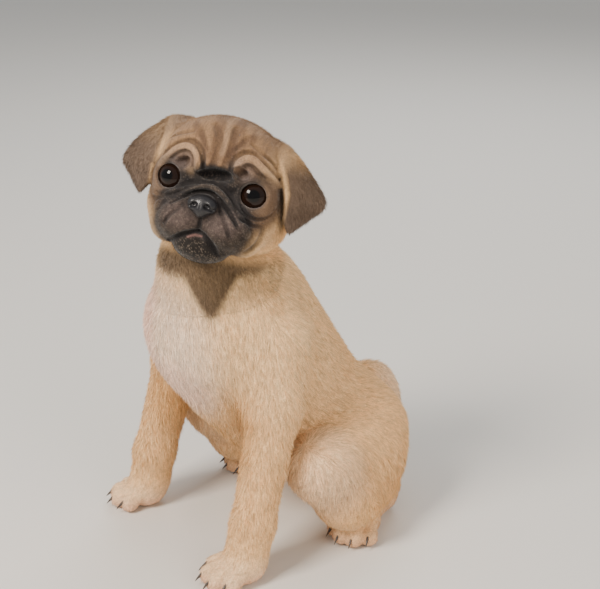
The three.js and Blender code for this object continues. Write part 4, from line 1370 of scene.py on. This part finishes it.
@dataclass(frozen=True)
class Finish:
    """A substance with a name of its own; each kind below lays its own nodes."""

    name: str

    def make(self) -> bpy.types.Material:
        """Builds the material.

        Returns:
            The material, ready for a piece.
        """
        material = bpy.data.materials.new(self.name)
        material.use_nodes = True
        nodes = Nodes(material.node_tree)
        shader = nodes.add("ShaderNodeBsdfPrincipled", self.values(nodes))
        nodes.add("ShaderNodeOutputMaterial", {"Surface": shader.outputs[0]})
        return material

    def values(self, nodes: Nodes) -> Inputs:
        """Lays the nodes of this kind of finish.

        Args:
            nodes: The material's nodes.

        Returns:
            The values of its shader.
        """
        raise NotImplementedError


@dataclass(frozen=True)
class ShortFur(Finish):
    """Skin under short fur: matte, with a faint velvet sheen at the edges."""

    roughness: float
    sheen: float
    bump_mm: float
    grain_mm: float

    def values(self, nodes: Nodes) -> Inputs:
        """Mottles the tone kept on the piece, a few hairs wide so that it shows.

        Args:
            nodes: The material's nodes.

        Returns:
            The values of its shader.
        """
        tone = nodes.add("ShaderNodeAttribute", attribute_name="tone").outputs["Color"]
        place = nodes.add("ShaderNodeTexCoord").outputs["Object"]
        grain = {"Vector": place, "Scale": 1 / (self.grain_mm * MM), "Detail": 3.0, "Roughness": 0.6}
        mottle = nodes.add("ShaderNodeTexNoise", grain).outputs[0]
        reach = {"Value": mottle, "From Min": 0.3, "From Max": 0.7, "To Min": 0.7, "To Max": 1.22}
        swing = nodes.add("ShaderNodeMapRange", reach).outputs[0]
        bumps = {"Strength": 0.55, "Distance": self.bump_mm * MM, "Height": mottle}
        return {
            "Base Color": nodes.vector("SCALE", tone, swing),
            "Roughness": self.roughness,
            "IOR": 1.45,
            "Specular IOR Level": 0.25,
            "Sheen Weight": self.sheen,
            "Sheen Roughness": 0.45,
            "Normal": nodes.add("ShaderNodeBump", bumps).outputs[0],
        }


@dataclass(frozen=True)
class Hair(Finish):
    """Short single hairs in the tone of the skin below, each a little lighter or darker."""

    def values(self, nodes: Nodes) -> Inputs:
        """Scales each hair's tone by its own shade.

        Args:
            nodes: The material's nodes.

        Returns:
            The values of its shader.
        """
        tone = nodes.add("ShaderNodeAttribute", attribute_name="tone").outputs["Color"]
        shade = nodes.add("ShaderNodeAttribute", attribute_name="shade").outputs["Fac"]
        colour = nodes.vector("SCALE", tone, shade)
        return {"Base Color": colour, "Roughness": 0.6, "IOR": 1.55, "Specular IOR Level": 0.3}


@dataclass(frozen=True)
class Smooth(Finish):
    """A plain smooth substance such as horn or wet leather, with a fine grain if it has one."""

    colour: str
    roughness: float
    coat: float = 0.0
    grain_mm: float = 0.0
    bump_mm: float = 0.0

    def values(self, nodes: Nodes) -> Inputs:
        """Gives the plain values, and a bump where there is a grain.

        Args:
            nodes: The material's nodes.

        Returns:
            The values of its shader.
        """
        values: Inputs = {
            "Base Color": linear(self.colour),
            "Roughness": self.roughness,
            "IOR": 1.45,
            "Coat Weight": self.coat,
            "Coat Roughness": 0.12,
        }
        if self.grain_mm:
            place = nodes.add("ShaderNodeTexCoord").outputs["Object"]
            cells = {"Vector": place, "Scale": 1 / (self.grain_mm * MM)}
            height = nodes.add("ShaderNodeTexVoronoi", cells).outputs["Distance"]
            bumps = {"Strength": 0.6, "Distance": self.bump_mm * MM, "Height": height}
            values["Normal"] = nodes.add("ShaderNodeBump", bumps, invert=True).outputs[0]
        return values


@dataclass(frozen=True)
class WetEye(Finish):
    """A wet dark eye: a brown iris round a black pupil, under a clear glossy cornea."""

    name: str = "wet_eye"
    iris: str = "#1d110b"
    pupil: str = "#050404"
    rim: str = "#0b0706"
    white: str = "#8c7a70"

    def values(self, nodes: Nodes) -> Inputs:
        """Colours the rings of the eye by how far each point lies from its axis.

        Args:
            nodes: The material's nodes.

        Returns:
            The values of its shader.
        """
        off_axis = nodes.add("ShaderNodeAttribute", attribute_name="off_axis").outputs["Fac"]
        ramp = nodes.add("ShaderNodeValToRGB", {"Fac": off_axis})
        rings = (
            (0.0, self.pupil),
            (0.30, self.pupil),
            (0.38, self.iris),
            (0.64, self.iris),
            (0.72, self.rim),
            (0.80, self.white),
        )
        elements = ramp.color_ramp.elements
        while len(elements) < len(rings):
            elements.new(0.5)
        for element, (place, colour) in zip(elements, rings):
            element.position = place
            element.color = linear(colour)
        return {"Base Color": ramp.outputs["Color"], "Roughness": 0.04, "IOR": 1.34}


class Lie:
    """The way the coat lies: from the nose over the head, down the neck and trunk, and down the legs."""

    def body(self, points: np.ndarray) -> np.ndarray:
        """Gives the lie on the body.

        Args:
            points: Points in the working frame.

        Returns:
            The way the coat points at each of them.
        """
        x, y, z = points.T
        back = smooth_step(-90, -40, y) * smooth_step(40, 90, z)
        chest = smooth_step(-80, -110, y) * smooth_step(90, 130, z)
        tail = smooth_step(56, 66, y) * smooth_step(34, 44, z)
        way = np.zeros_like(points)
        way[:, 0] = 0.25 * np.sign(x) * chest
        way[:, 1] = 0.75 * back - 2.2 * smooth_step(20, 8, z) + 0.2 * tail
        way[:, 2] = -1
        return way

    def head(self, points: np.ndarray) -> np.ndarray:
        """Gives the lie on the head and neck.

        Args:
            points: Points in the working frame.

        Returns:
            The way the coat points at each of them.
        """
        local = to_head(points)
        away = local - np.array([0, -38, -6])
        away /= np.maximum(1e-6, np.linalg.norm(away, axis=1))[:, None]
        away[:, 1] += 0.9
        ears = smooth_step(36, 42, np.abs(local[:, 0])) * smooth_step(-16, -10, local[:, 1])
        away = away * (1 - ears)[:, None] + np.array([0, 0.1, -1]) * ears[:, None]
        way = away @ HEAD_ROTATION.T
        below = smooth_step(-34, -54, local[:, 2])[:, None]
        return way * (1 - below) + self.body(points) * below


@dataclass(frozen=True)
class Grid:
    """The box of cells that a skin is drawn over."""

    low: Point
    high: Point
    cell: float


BODY_GRID = Grid((-98, -140, -3), (94, 88, 212), 2.1)
HEAD_GRID = Grid((-88, -54, -104), (82, 78, 54), 1.15)
NOSE_GRID = Grid((-13, -50, -21), (13, -28, 1), 0.45)


class Skin:
    """One skin over a part of the puppy, with its tone, its lie and an unwrap."""

    def __init__(self, flesh: Flesh, part: Side) -> None:
        """Draws the skin.

        Args:
            flesh: The puppy's clay.
            part: The part to cover.
        """
        self.flesh = flesh
        self.part = part
        markings, lie = Markings(), Lie()
        name = f"skin_{part.value}"
        if part is Side.BODY:
            self.points, faces = self.floored(*draw_skin(self.distance, *astuple(BODY_GRID)))
            self.piece = mesh_object(name, self.points, faces)
            tone, way = markings.body(self.points), lie.body(self.points)
        else:
            self.points, faces = self.floored(*self.drawn_head())
            self.piece = mesh_object(name, self.points, faces)
            tone, way = self.shaded_folds(markings.head(self.points), markings), lie.head(self.points)
        tone = tone * np.random.default_rng(3).uniform(0.88, 1.1, (len(tone), 1))
        opaque = np.concatenate([np.clip(tone, 0, 1), np.ones((len(tone), 1))], 1)
        keep_values(self.piece, "tone", Kind.COLOUR, opaque)
        keep_values(self.piece, "lie", Kind.VECTOR, way)
        self.lengths()
        self.unwrap()
        LOG.info("%s: %d triangles", name, len(faces))

    def distance(self, points: np.ndarray) -> np.ndarray:
        """Gives the distance to the skin from points in the working frame."""
        return self.flesh.at(points, self.part)

    def head_distance(self, local: np.ndarray) -> np.ndarray:
        """Gives the distance to the skin from points in the head's frame."""
        return self.distance(from_head(local))

    def floored(self, points: np.ndarray, faces: np.ndarray) -> tuple[np.ndarray, np.ndarray]:
        """Lifts the points that lie under the floor up to it."""
        points[:, 2] = np.maximum(points[:, 2], 0.0)
        return points, faces

    def drawn_head(self) -> tuple[np.ndarray, np.ndarray]:
        """Draws the head in its own frame, with the face four times as fine.

        Returns:
            The points in the working frame and the triangles.
        """
        local, faces = draw_skin(self.head_distance, *astuple(HEAD_GRID))
        x, y, z = local.T
        face = (y < -6) & (z > -50) & (z < 38) & (np.abs(x) < 42)
        local, faces = divide(local, faces, face)
        return from_head(settle(self.head_distance, local, 0.6, 3)), faces

    def shaded_folds(self, tone: np.ndarray, markings: Markings) -> np.ndarray:
        """Paints shade into the folds of the face and paints highlights on their crests.

        Args:
            tone: The tone at each point.
            markings: The colours.

        Returns:
            The tone with its folds.
        """
        normals = np.zeros(len(self.points) * 3, np.float32)
        self.piece.data.vertices.foreach_get("normal", normals)
        off = normals.reshape(-1, 3) * FOLD_REACH
        hollow = np.clip((FOLD_REACH - self.distance(self.points + off)) / FOLD_REACH, 0, 1)
        crest = np.clip((FOLD_REACH + self.distance(self.points - off)) / FOLD_REACH, 0, 1)
        local = to_head(self.points)
        face = smooth_step(0, -14, local[:, 1]) * smooth_step(42, 34, np.abs(local[:, 0]))
        masked = spot(local, (0, -34, -20), (39, 36, 31), 0.3) + spot(local, (3, -31, 8), (18, 14, 9), 0.5)
        # Painted shade: the tone goes towards black in the hollows, more so in the mask and the stop
        depth = np.clip(1.9 * hollow - 0.12, 0, 1) * (0.5 + 0.43 * np.clip(masked, 0, 1))
        tone = tone * (1 - depth)[:, None] + np.array(linear(markings.black)[:3]) * depth[:, None]
        # Painted highlight on the crests of the face's folds
        highlight_tone = np.clip(tone * 1.55 + 0.02, 0, 1)
        share = (np.clip(1.3 * crest - 0.15, 0, 0.5) * face)[:, None]
        return tone * (1 - share) + highlight_tone * share

    def lengths(self) -> None:
        """Keeps how long and how thick the coat is at each point."""
        above = up_neck(self.points)
        if self.part is Side.BODY:
            z = self.points[:, 2]
            length = 0.55 + 0.45 * smooth_step(10, 50, z)
            room = smooth_step(1.2, 4.0, z) * smooth_step(4, 1, above)
        else:
            local = to_head(self.points)
            length = 0.85 - 0.5 * smooth_step(10, -24, local[:, 1])
            room = smooth_step(0.4, 2.0, above)
            for s in both_sides():
                eye = eye_place(s)
                off = np.linalg.norm(local - (eye.centre + eye.way * 8), axis=1)
                room = room * smooth_step(8.5, 11.0, off)
            nose = np.linalg.norm((local - np.array([0, -40, -9])) / np.array([9.5, 9, 7.5]), axis=1)
            room = room * smooth_step(0.95, 1.25, nose)
        keep_values(self.piece, "coat_length", Kind.NUMBER, length)
        keep_values(self.piece, "coat_room", Kind.NUMBER, room)

    def unwrap(self) -> None:
        """Unwraps the skin into charts that don't overlap."""
        bpy.ops.object.select_all(action="DESELECT")
        self.piece.select_set(True)
        bpy.context.view_layer.objects.active = self.piece
        bpy.ops.object.mode_set(mode="EDIT")
        bpy.ops.mesh.select_all(action="SELECT")
        bpy.ops.uv.smart_project(angle_limit=1.2, island_margin=0.002)
        bpy.ops.object.mode_set(mode="OBJECT")
        self.piece.select_set(False)
        self.piece.data.uv_layers[0].name = "skin_unwrap"


class HairNodes(Nodes):
    """A tree of Geometry Nodes that grows hairs."""

    def named(self, name: str, data_type: str = "FLOAT") -> Socket:
        """Reads a value kept on each point."""
        node = self.add("GeometryNodeInputNamedAttribute", {"Name": name}, data_type=data_type)
        return node.outputs["Attribute"]

    def store(
        self,
        geometry: Socket,
        name: str,
        value: Socket,
        data_type: str = "FLOAT_VECTOR",
        domain: str = "POINT",
    ) -> Socket:
        """Keeps a value on a geometry.

        Args:
            geometry: The geometry.
            name: The value's name.
            value: The value.
            data_type: Its kind.
            domain: What it is kept for: each point or each corner.

        Returns:
            The geometry with the value.
        """
        inputs = {"Geometry": geometry, "Name": name, "Value": value}
        node = self.add("GeometryNodeStoreNamedAttribute", inputs, data_type=data_type, domain=domain)
        return node.outputs[0]

    def chance(self, low: float, high: float, seed: int) -> Socket:
        """Draws a number between two for each hair."""
        limits = {2: low, 3: high, "Seed": seed}
        return self.add("FunctionNodeRandomValue", limits, data_type="FLOAT").outputs[1]

    def multiply(self, first: Socket, second: Socket) -> Socket:
        """Multiplies two numbers."""
        return self.add("ShaderNodeMath", {0: first, 1: second}, operation="MULTIPLY").outputs[0]


@dataclass(frozen=True)
class CoatSizes:
    """The sizes of one stretch of coat; the density is in hairs to the square metre."""

    name: str
    density: float
    length_mm: float
    width_mm: float
    lift: float
    seed: int

    def values(self) -> dict[str, float | int]:
        """Gives the inputs of the tree that grows it, by name."""
        return {
            "Density": self.density,
            "Length": self.length_mm * MM,
            "Width": self.width_mm * MM,
            "Lift": self.lift,
            "Seed": self.seed,
        }


class Coat:
    """Short hairs over a skin: each a thin solid spike that lies along the coat, made by Geometry Nodes."""

    stray = 0.28
    # A hair's own points are kept this much larger, then laid round its root on the unwrap
    patch_scale = 180.0
    patch_size = 0.003
    passing = ("lie", "coat_length", "coat_room", "patch", "root")

    def __init__(self, skin: Skin, sizes: CoatSizes, material: bpy.types.Material) -> None:
        """Grows one stretch of coat.

        Args:
            skin: The skin it grows on.
            sizes: Its sizes.
            material: The hair's material.
        """
        host = skin.piece.copy()
        host.data = skin.piece.data.copy()
        bpy.context.scene.collection.objects.link(host)
        modifier = host.modifiers.new("coat", "NODES")
        modifier.node_group = self.tree(sizes.name, material)
        values = sizes.values()
        for item in modifier.node_group.interface.items_tree:
            if item.item_type == "SOCKET" and item.in_out == "INPUT" and item.name in values:
                modifier[item.identifier] = values[item.name]
        view = bpy.context.evaluated_depsgraph_get()
        mesh = bpy.data.meshes.new_from_object(host.evaluated_get(view), depsgraph=view)
        mesh.name = sizes.name
        bpy.data.objects.remove(host)
        self.piece = bpy.data.objects.new(sizes.name, mesh)
        bpy.context.scene.collection.objects.link(self.piece)
        for name in [a.name for a in mesh.attributes if a.name in self.passing]:
            mesh.attributes.remove(mesh.attributes[name])
        LOG.info("%s: %d triangles", sizes.name, sum(len(p.vertices) - 2 for p in mesh.polygons))

    def tree(self, name: str, material: bpy.types.Material) -> bpy.types.NodeTree:
        """Builds the tree that grows the hairs.

        Args:
            name: The tree's name.
            material: The hair's material.

        Returns:
            The node tree.
        """
        tree = bpy.data.node_groups.new(name, "GeometryNodeTree")
        face = tree.interface
        face.new_socket("Geometry", in_out="INPUT", socket_type="NodeSocketGeometry")
        for number in ("Density", "Length", "Width", "Lift"):
            face.new_socket(number, in_out="INPUT", socket_type="NodeSocketFloat")
        face.new_socket("Seed", in_out="INPUT", socket_type="NodeSocketInt")
        face.new_socket("Geometry", in_out="OUTPUT", socket_type="NodeSocketGeometry")
        nodes = HairNodes(tree)
        given = nodes.add("NodeGroupInput").outputs
        amount = nodes.multiply(given["Density"], nodes.named("coat_room"))
        spread = {"Mesh": given["Geometry"], "Density": amount, "Seed": given["Seed"]}
        roots = nodes.add("GeometryNodeDistributePointsOnFaces", spread)
        # The root's place on the skin's unwrap goes along with each hair
        kept = nodes.store(roots.outputs["Points"], "root", nodes.named("skin_unwrap", "FLOAT_VECTOR"))
        kept = nodes.store(kept, "shade", nodes.chance(0.64, 1.22, 3), "FLOAT")
        normal = roots.outputs["Normal"]
        lie = nodes.named("lie", "FLOAT_VECTOR")
        upright = nodes.vector("SCALE", normal, nodes.vector("DOT_PRODUCT", lie, normal))
        flat = nodes.vector("NORMALIZE", nodes.vector("SUBTRACT", lie, upright))
        lifted = nodes.vector("ADD", flat, nodes.vector("SCALE", normal, given["Lift"]))
        limits = {0: (-self.stray,) * 3, 1: (self.stray,) * 3, "Seed": 7}
        stray = nodes.add("FunctionNodeRandomValue", limits, data_type="FLOAT_VECTOR").outputs[0]
        way = nodes.vector("ADD", lifted, stray)
        turn = nodes.add("FunctionNodeAlignRotationToVector", {"Vector": way}, axis="Z").outputs[0]
        cone = {"Vertices": 3, "Radius Top": 0.0, "Radius Bottom": given["Width"], "Depth": given["Length"]}
        hair = nodes.add("GeometryNodeMeshCone", cone, fill_type="NGON").outputs["Mesh"]
        place = nodes.add("GeometryNodeInputPosition").outputs[0]
        hair = nodes.store(hair, "patch", nodes.vector("SCALE", place, self.patch_scale))
        size = nodes.multiply(nodes.named("coat_length"), nodes.chance(0.7, 1.15, 11))
        planted = {"Points": kept, "Instance": hair, "Rotation": turn, "Scale": size}
        grown = nodes.add("GeometryNodeInstanceOnPoints", planted).outputs[0]
        real = nodes.add("GeometryNodeRealizeInstances", {"Geometry": grown}).outputs[0]
        offset = nodes.vector("SCALE", nodes.named("patch", "FLOAT_VECTOR"), self.patch_size)
        where = nodes.vector("ADD", nodes.named("root", "FLOAT_VECTOR"), offset)
        baked = nodes.store(real, "OFBake", where, "FLOAT2", "CORNER")
        dressed = nodes.add("GeometryNodeSetMaterial", {"Geometry": baked, "Material": material})
        nodes.add("NodeGroupOutput", {0: dressed.outputs[0]})
        return tree


def closed_rings(rings: np.ndarray, first: np.ndarray, last: np.ndarray) -> tuple[np.ndarray, np.ndarray]:
    """Closes rings of points to a solid.

    Args:
        rings: The points, by ring and by place round it.
        first: The point that closes the first ring.
        last: The point that closes the last ring.

    Returns:
        The points and the triangles, which face outward.
    """
    count, around = rings.shape[:2]
    points = np.concatenate([rings.reshape(-1, 3), [first, last]])
    top, end = count * around, (count - 1) * around
    faces = []
    for j in range(around):
        k = (j + 1) % around
        faces += [(top, k, j), (top + 1, end + j, end + k)]
        for i in range(0, end, around):
            a, b = i + j, i + k
            faces += [(a, b, b + around), (a, b + around, a + around)]
    faces = np.array(faces)
    a, b, c = (points[faces[:, k]] for k in range(3))
    volume = np.einsum("ij,ij->i", a, np.cross(b, c)).sum()
    return points, faces if volume > 0 else faces[:, ::-1]


class Eye:
    """An eyeball with a bulging cornea, set in the head."""

    rings = 40
    around = 56
    bulge = 0.9

    def __init__(self, side: int, material: bpy.types.Material) -> None:
        """Makes the eye.

        Args:
            side: +1 for the puppy's left, -1 for its right.
            material: The eye's material.
        """
        eye = eye_place(side)
        rings, off = [], []
        for i in range(1, self.rings):
            a = math.pi * i / self.rings
            lift = self.bulge * max(0.0, (math.cos(a) - 0.78) / 0.22)
            middle = eye.centre + eye.way * (EYE_RADIUS * math.cos(a) + lift)
            turns = [2 * math.pi * j / self.around for j in range(self.around)]
            flats = [eye.across * math.cos(b) + eye.upward * math.sin(b) for b in turns]
            rings.append([middle + flat * EYE_RADIUS * math.sin(a) for flat in flats])
            off += [math.sin(a) if a < math.pi / 2 else 1.0] * self.around
        front = eye.centre + eye.way * (EYE_RADIUS + self.bulge)
        points, faces = closed_rings(np.array(rings), front, eye.centre - eye.way * EYE_RADIUS)
        self.node = "eye_left" if side > 0 else "eye_right"
        self.piece = mesh_object(self.node.replace("eye", "eye_ball"), from_head(points), faces)
        keep_values(self.piece, "off_axis", Kind.NUMBER, np.array([*off, 0.0, 1.0]))
        self.piece.data.materials.append(material)


class Nose:
    """The nose leather, set between the lip cushions under the roll of skin."""

    def __init__(self, material: bpy.types.Material) -> None:
        """Makes the nose.

        Args:
            material: The nose's material.
        """
        points, faces = draw_skin(self.clay().at, *astuple(NOSE_GRID))
        self.piece = mesh_object("nose_leather", from_head(points), faces)
        self.piece.data.materials.append(material)

    def clay(self) -> Clay:
        """Works the nose, with its nostrils and the split between them, in the head's frame.

        Returns:
            The clay.
        """
        clay = Clay()
        y, z = -NOSE_FORWARD + 3, -NOSE_DROP
        clay.egg((0, y, z), (NOSE_WIDTH / 2, 5.4, NOSE_HEIGHT / 2), 2)
        clay.egg((0, y - 1, z - 3), (3.4, 4.6, 4.6), 2.5)
        for s in both_sides():
            clay.egg((s * 5.2, y - 0.6, z + 0.4), (3.6, 4.6, 4.2), 1.6)
            clay.egg((s * 4, y - 5.6, z - 0.4), (2.2, 3, 1.8), 0.8, (0, 0, s * 20), -1)
            clay.cord([(s * 4.6, y - 5.0, z - 1.0), (s * 7.4, y - 2.4, z - 1.8)], lambda t: 1.1, 0.8, -1, 4)
        clay.cord([(0, y - 6.4, z + 1), (0, y - 6.2, z - 6)], lambda t: 0.55, 0.8, -1, 3)
        return clay


class Claws:
    """The claws of all four feet, as short bent cones that stand out of the toes."""

    length = 9.0
    radius = 1.9
    height = 9.2
    rings = 9
    around = 12

    def __init__(self, material: bpy.types.Material) -> None:
        """Makes every claw of the four feet.

        Args:
            material: The claws' material.
        """
        self.pieces: list[tuple[bpy.types.Object, str]] = []
        for kind, legs in (("fore", FORELEGS), ("hind", HINDLEGS)):
            for leg in legs:
                for i, toe in enumerate(TOES):
                    node = f"claw_{kind}_{leg.name}_{i + 1}"
                    piece = self.claw(node + "_horn", leg.paw, toe)
                    piece.data.materials.append(material)
                    self.pieces.append((piece, node))

    def claw(self, name: str, paw: Paw, toe: Toe) -> bpy.types.Object:
        """Makes one claw that bends down to its tip.

        Args:
            name: The piece's name.
            paw: The paw it stands on.
            toe: The toe it stands out of.

        Returns:
            The piece.
        """
        x, y = paw.place(toe.across * 1.03, toe.ahead + 2)
        turn = math.radians(paw.heading + toe.across)
        ahead = np.array([math.sin(turn), -math.cos(turn), 0])
        side = np.array([math.cos(turn), math.sin(turn), 0])
        upright = np.array([0, 0, 1])
        rings = []
        for i in range(self.rings):
            t = i / (self.rings - 1)
            slope = math.radians(18 + 42 * t)
            reach = self.length * t
            sink = upright * reach * (0.3 + 0.36 * t)
            middle = np.array([x, y, self.height]) + ahead * reach * 0.9 - sink
            radius = self.radius * (1 - t) ** 0.75 * 0.92 + 0.05
            up = upright * math.cos(slope) + ahead * math.sin(slope)
            turns = [2 * math.pi * j / self.around for j in range(self.around)]
            rings.append([middle + radius * (side * 0.8 * math.cos(a) + up * math.sin(a)) for a in turns])
        points, faces = closed_rings(np.array(rings), np.mean(rings[0], axis=0), np.mean(rings[-1], axis=0))
        points[:, 2] = np.maximum(points[:, 2], 0.05)
        return mesh_object(name, points, faces)


@dataclass(frozen=True)
class Lamp:
    """A soft square lamp, seen in wet eyes or not."""

    name: str
    place: Point
    power: float
    size: float
    colour: str
    gloss: bool

    def hang(self) -> None:
        """Hangs the lamp so that it looks at the puppy's middle."""
        light = bpy.data.lights.new(self.name, "AREA")
        light.energy = self.power
        light.size = self.size
        light.color = linear(self.colour)[:3]
        lamp = bpy.data.objects.new(self.name, light)
        lamp.location = self.place
        way = Vector((0, 0, 0.14)) - Vector(self.place)
        lamp.rotation_euler = way.to_track_quat("-Z", "Y").to_euler()
        lamp.visible_glossy = self.gloss
        bpy.context.scene.collection.objects.link(lamp)


@dataclass(frozen=True)
class Studio:
    """A plain pale floor, soft light and a camera at the photograph's angle."""

    azimuth: float = 53.0
    elevation: float = 21.0
    distance_mm: float = 1000.0
    target: tuple[float, float, float] = (-19.0, 0.0, 150.0)
    focal_px: float = 1429.0
    picture_px: float = 600.0
    lamps: tuple[Lamp, ...] = (
        Lamp("key", (0.15, -1.1, 1.2), 30, 0.5, "#fff4e8", True),
        Lamp("fill", (1.5, 0.1, 0.7), 15, 1.2, "#fff2e2", False),
        Lamp("rim", (-0.7, 0.9, 1.1), 10, 0.8, "#ffffff", False),
    )

    def floor(self) -> bpy.types.Object:
        """Lays the floor just under the feet.

        Returns:
            The floor.
        """
        bpy.ops.mesh.primitive_plane_add(size=8, location=(0, 0, -0.0002))
        floor = bpy.context.active_object
        floor.name = "floor"
        floor.data.materials.append(Smooth("matte_paper_floor", "#dedbd5", 0.9).make())
        return floor

    def light(self) -> None:
        """Lights the scene from the upper front left, with a fill from the right and a soft sky."""
        for lamp in self.lamps:
            lamp.hang()
        world = bpy.data.worlds.new("studio")
        world.use_nodes = True
        back = world.node_tree.nodes["Background"]
        back.inputs[0].default_value = linear("#e9ecef")
        back.inputs[1].default_value = 0.55
        bpy.context.scene.world = world

    def camera(self) -> None:
        """Sets the camera."""
        az, el = math.radians(self.azimuth), math.radians(self.elevation)
        back = np.array([math.sin(az) * math.cos(el), -math.cos(az) * math.cos(el), math.sin(el)])
        data = bpy.data.cameras.new("camera")
        data.lens = self.focal_px / self.picture_px * data.sensor_width
        data.clip_start = 0.05
        camera = bpy.data.objects.new("camera", data)
        camera.location = to_row(np.array(self.target) + self.distance_mm * back)
        camera.rotation_euler = Vector(-back).to_track_quat("-Z", "Y").to_euler()
        bpy.context.scene.collection.objects.link(camera)
        bpy.context.scene.camera = camera


LEG_PARTS = ("upper_arm", "forearm", "forepaw", "thigh", "hindpaw")
FLESH_NODES = {
    Side.BODY: ["torso", "tail", *(f"{part}_{side}" for side in ("left", "right") for part in LEG_PARTS)],
    Side.HEAD: ["head", "neck", "ear_left", "ear_right"],
}
COATS = {
    Side.BODY: CoatSizes("coat_body", 290000, 5.2, 0.22, 0.22, 20),
    Side.HEAD: CoatSizes("coat_head", 760000, 4.2, 0.17, 0.3, 40),
}
COAT_STRETCHES = 3


def keep(piece: bpy.types.Object, nodes: Iterable[str] = ()) -> None:
    """Rides a piece on the puppy.

    Args:
        piece: The piece.
        nodes: The solids that it stands for.
    """
    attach(piece, "root")
    nodes = list(nodes)
    if nodes:
        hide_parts(*nodes)
    LOG.info("kept %s", piece.name)


def main(frame: dict) -> None:
    """Builds the puppy and its studio.
    """
    logging.basicConfig(level=logging.INFO, format="%(name)s: %(message)s")
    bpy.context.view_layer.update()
    flesh = Flesh()
    skin_fur = ShortFur("short_fur_over_skin", 0.78, 0.25, 0.35, 0.9).make()
    hair = Hair("fine_straight_hair").make()
    for part in Side:
        skin = Skin(flesh, part)
        skin.piece.data.materials.append(skin_fur)
        keep(skin.piece, FLESH_NODES[part])
        sizes = COATS[part]
        for i in range(COAT_STRETCHES):
            stretch = replace(sizes, name=f"{sizes.name}_{i + 1}", seed=sizes.seed + i)
            keep(Coat(skin, stretch, hair).piece)
    wet_eye = WetEye().make()
    for s in both_sides():
        eye = Eye(s, wet_eye)
        keep(eye.piece, [eye.node])
    nose = Nose(Smooth("damp_nose_leather", "#1d1c1f", 0.46, 0.25, 0.7, 0.12).make())
    keep(nose.piece, ["nose"])
    for piece, node in Claws(Smooth("dark_horn", "#4a423c", 0.42, 0.2).make()).pieces:
        keep(piece, [node])
    studio = Studio()
    studio.floor()
    studio.light()
    studio.camera()


if __name__ == "__main__":
    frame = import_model()
    main(frame)
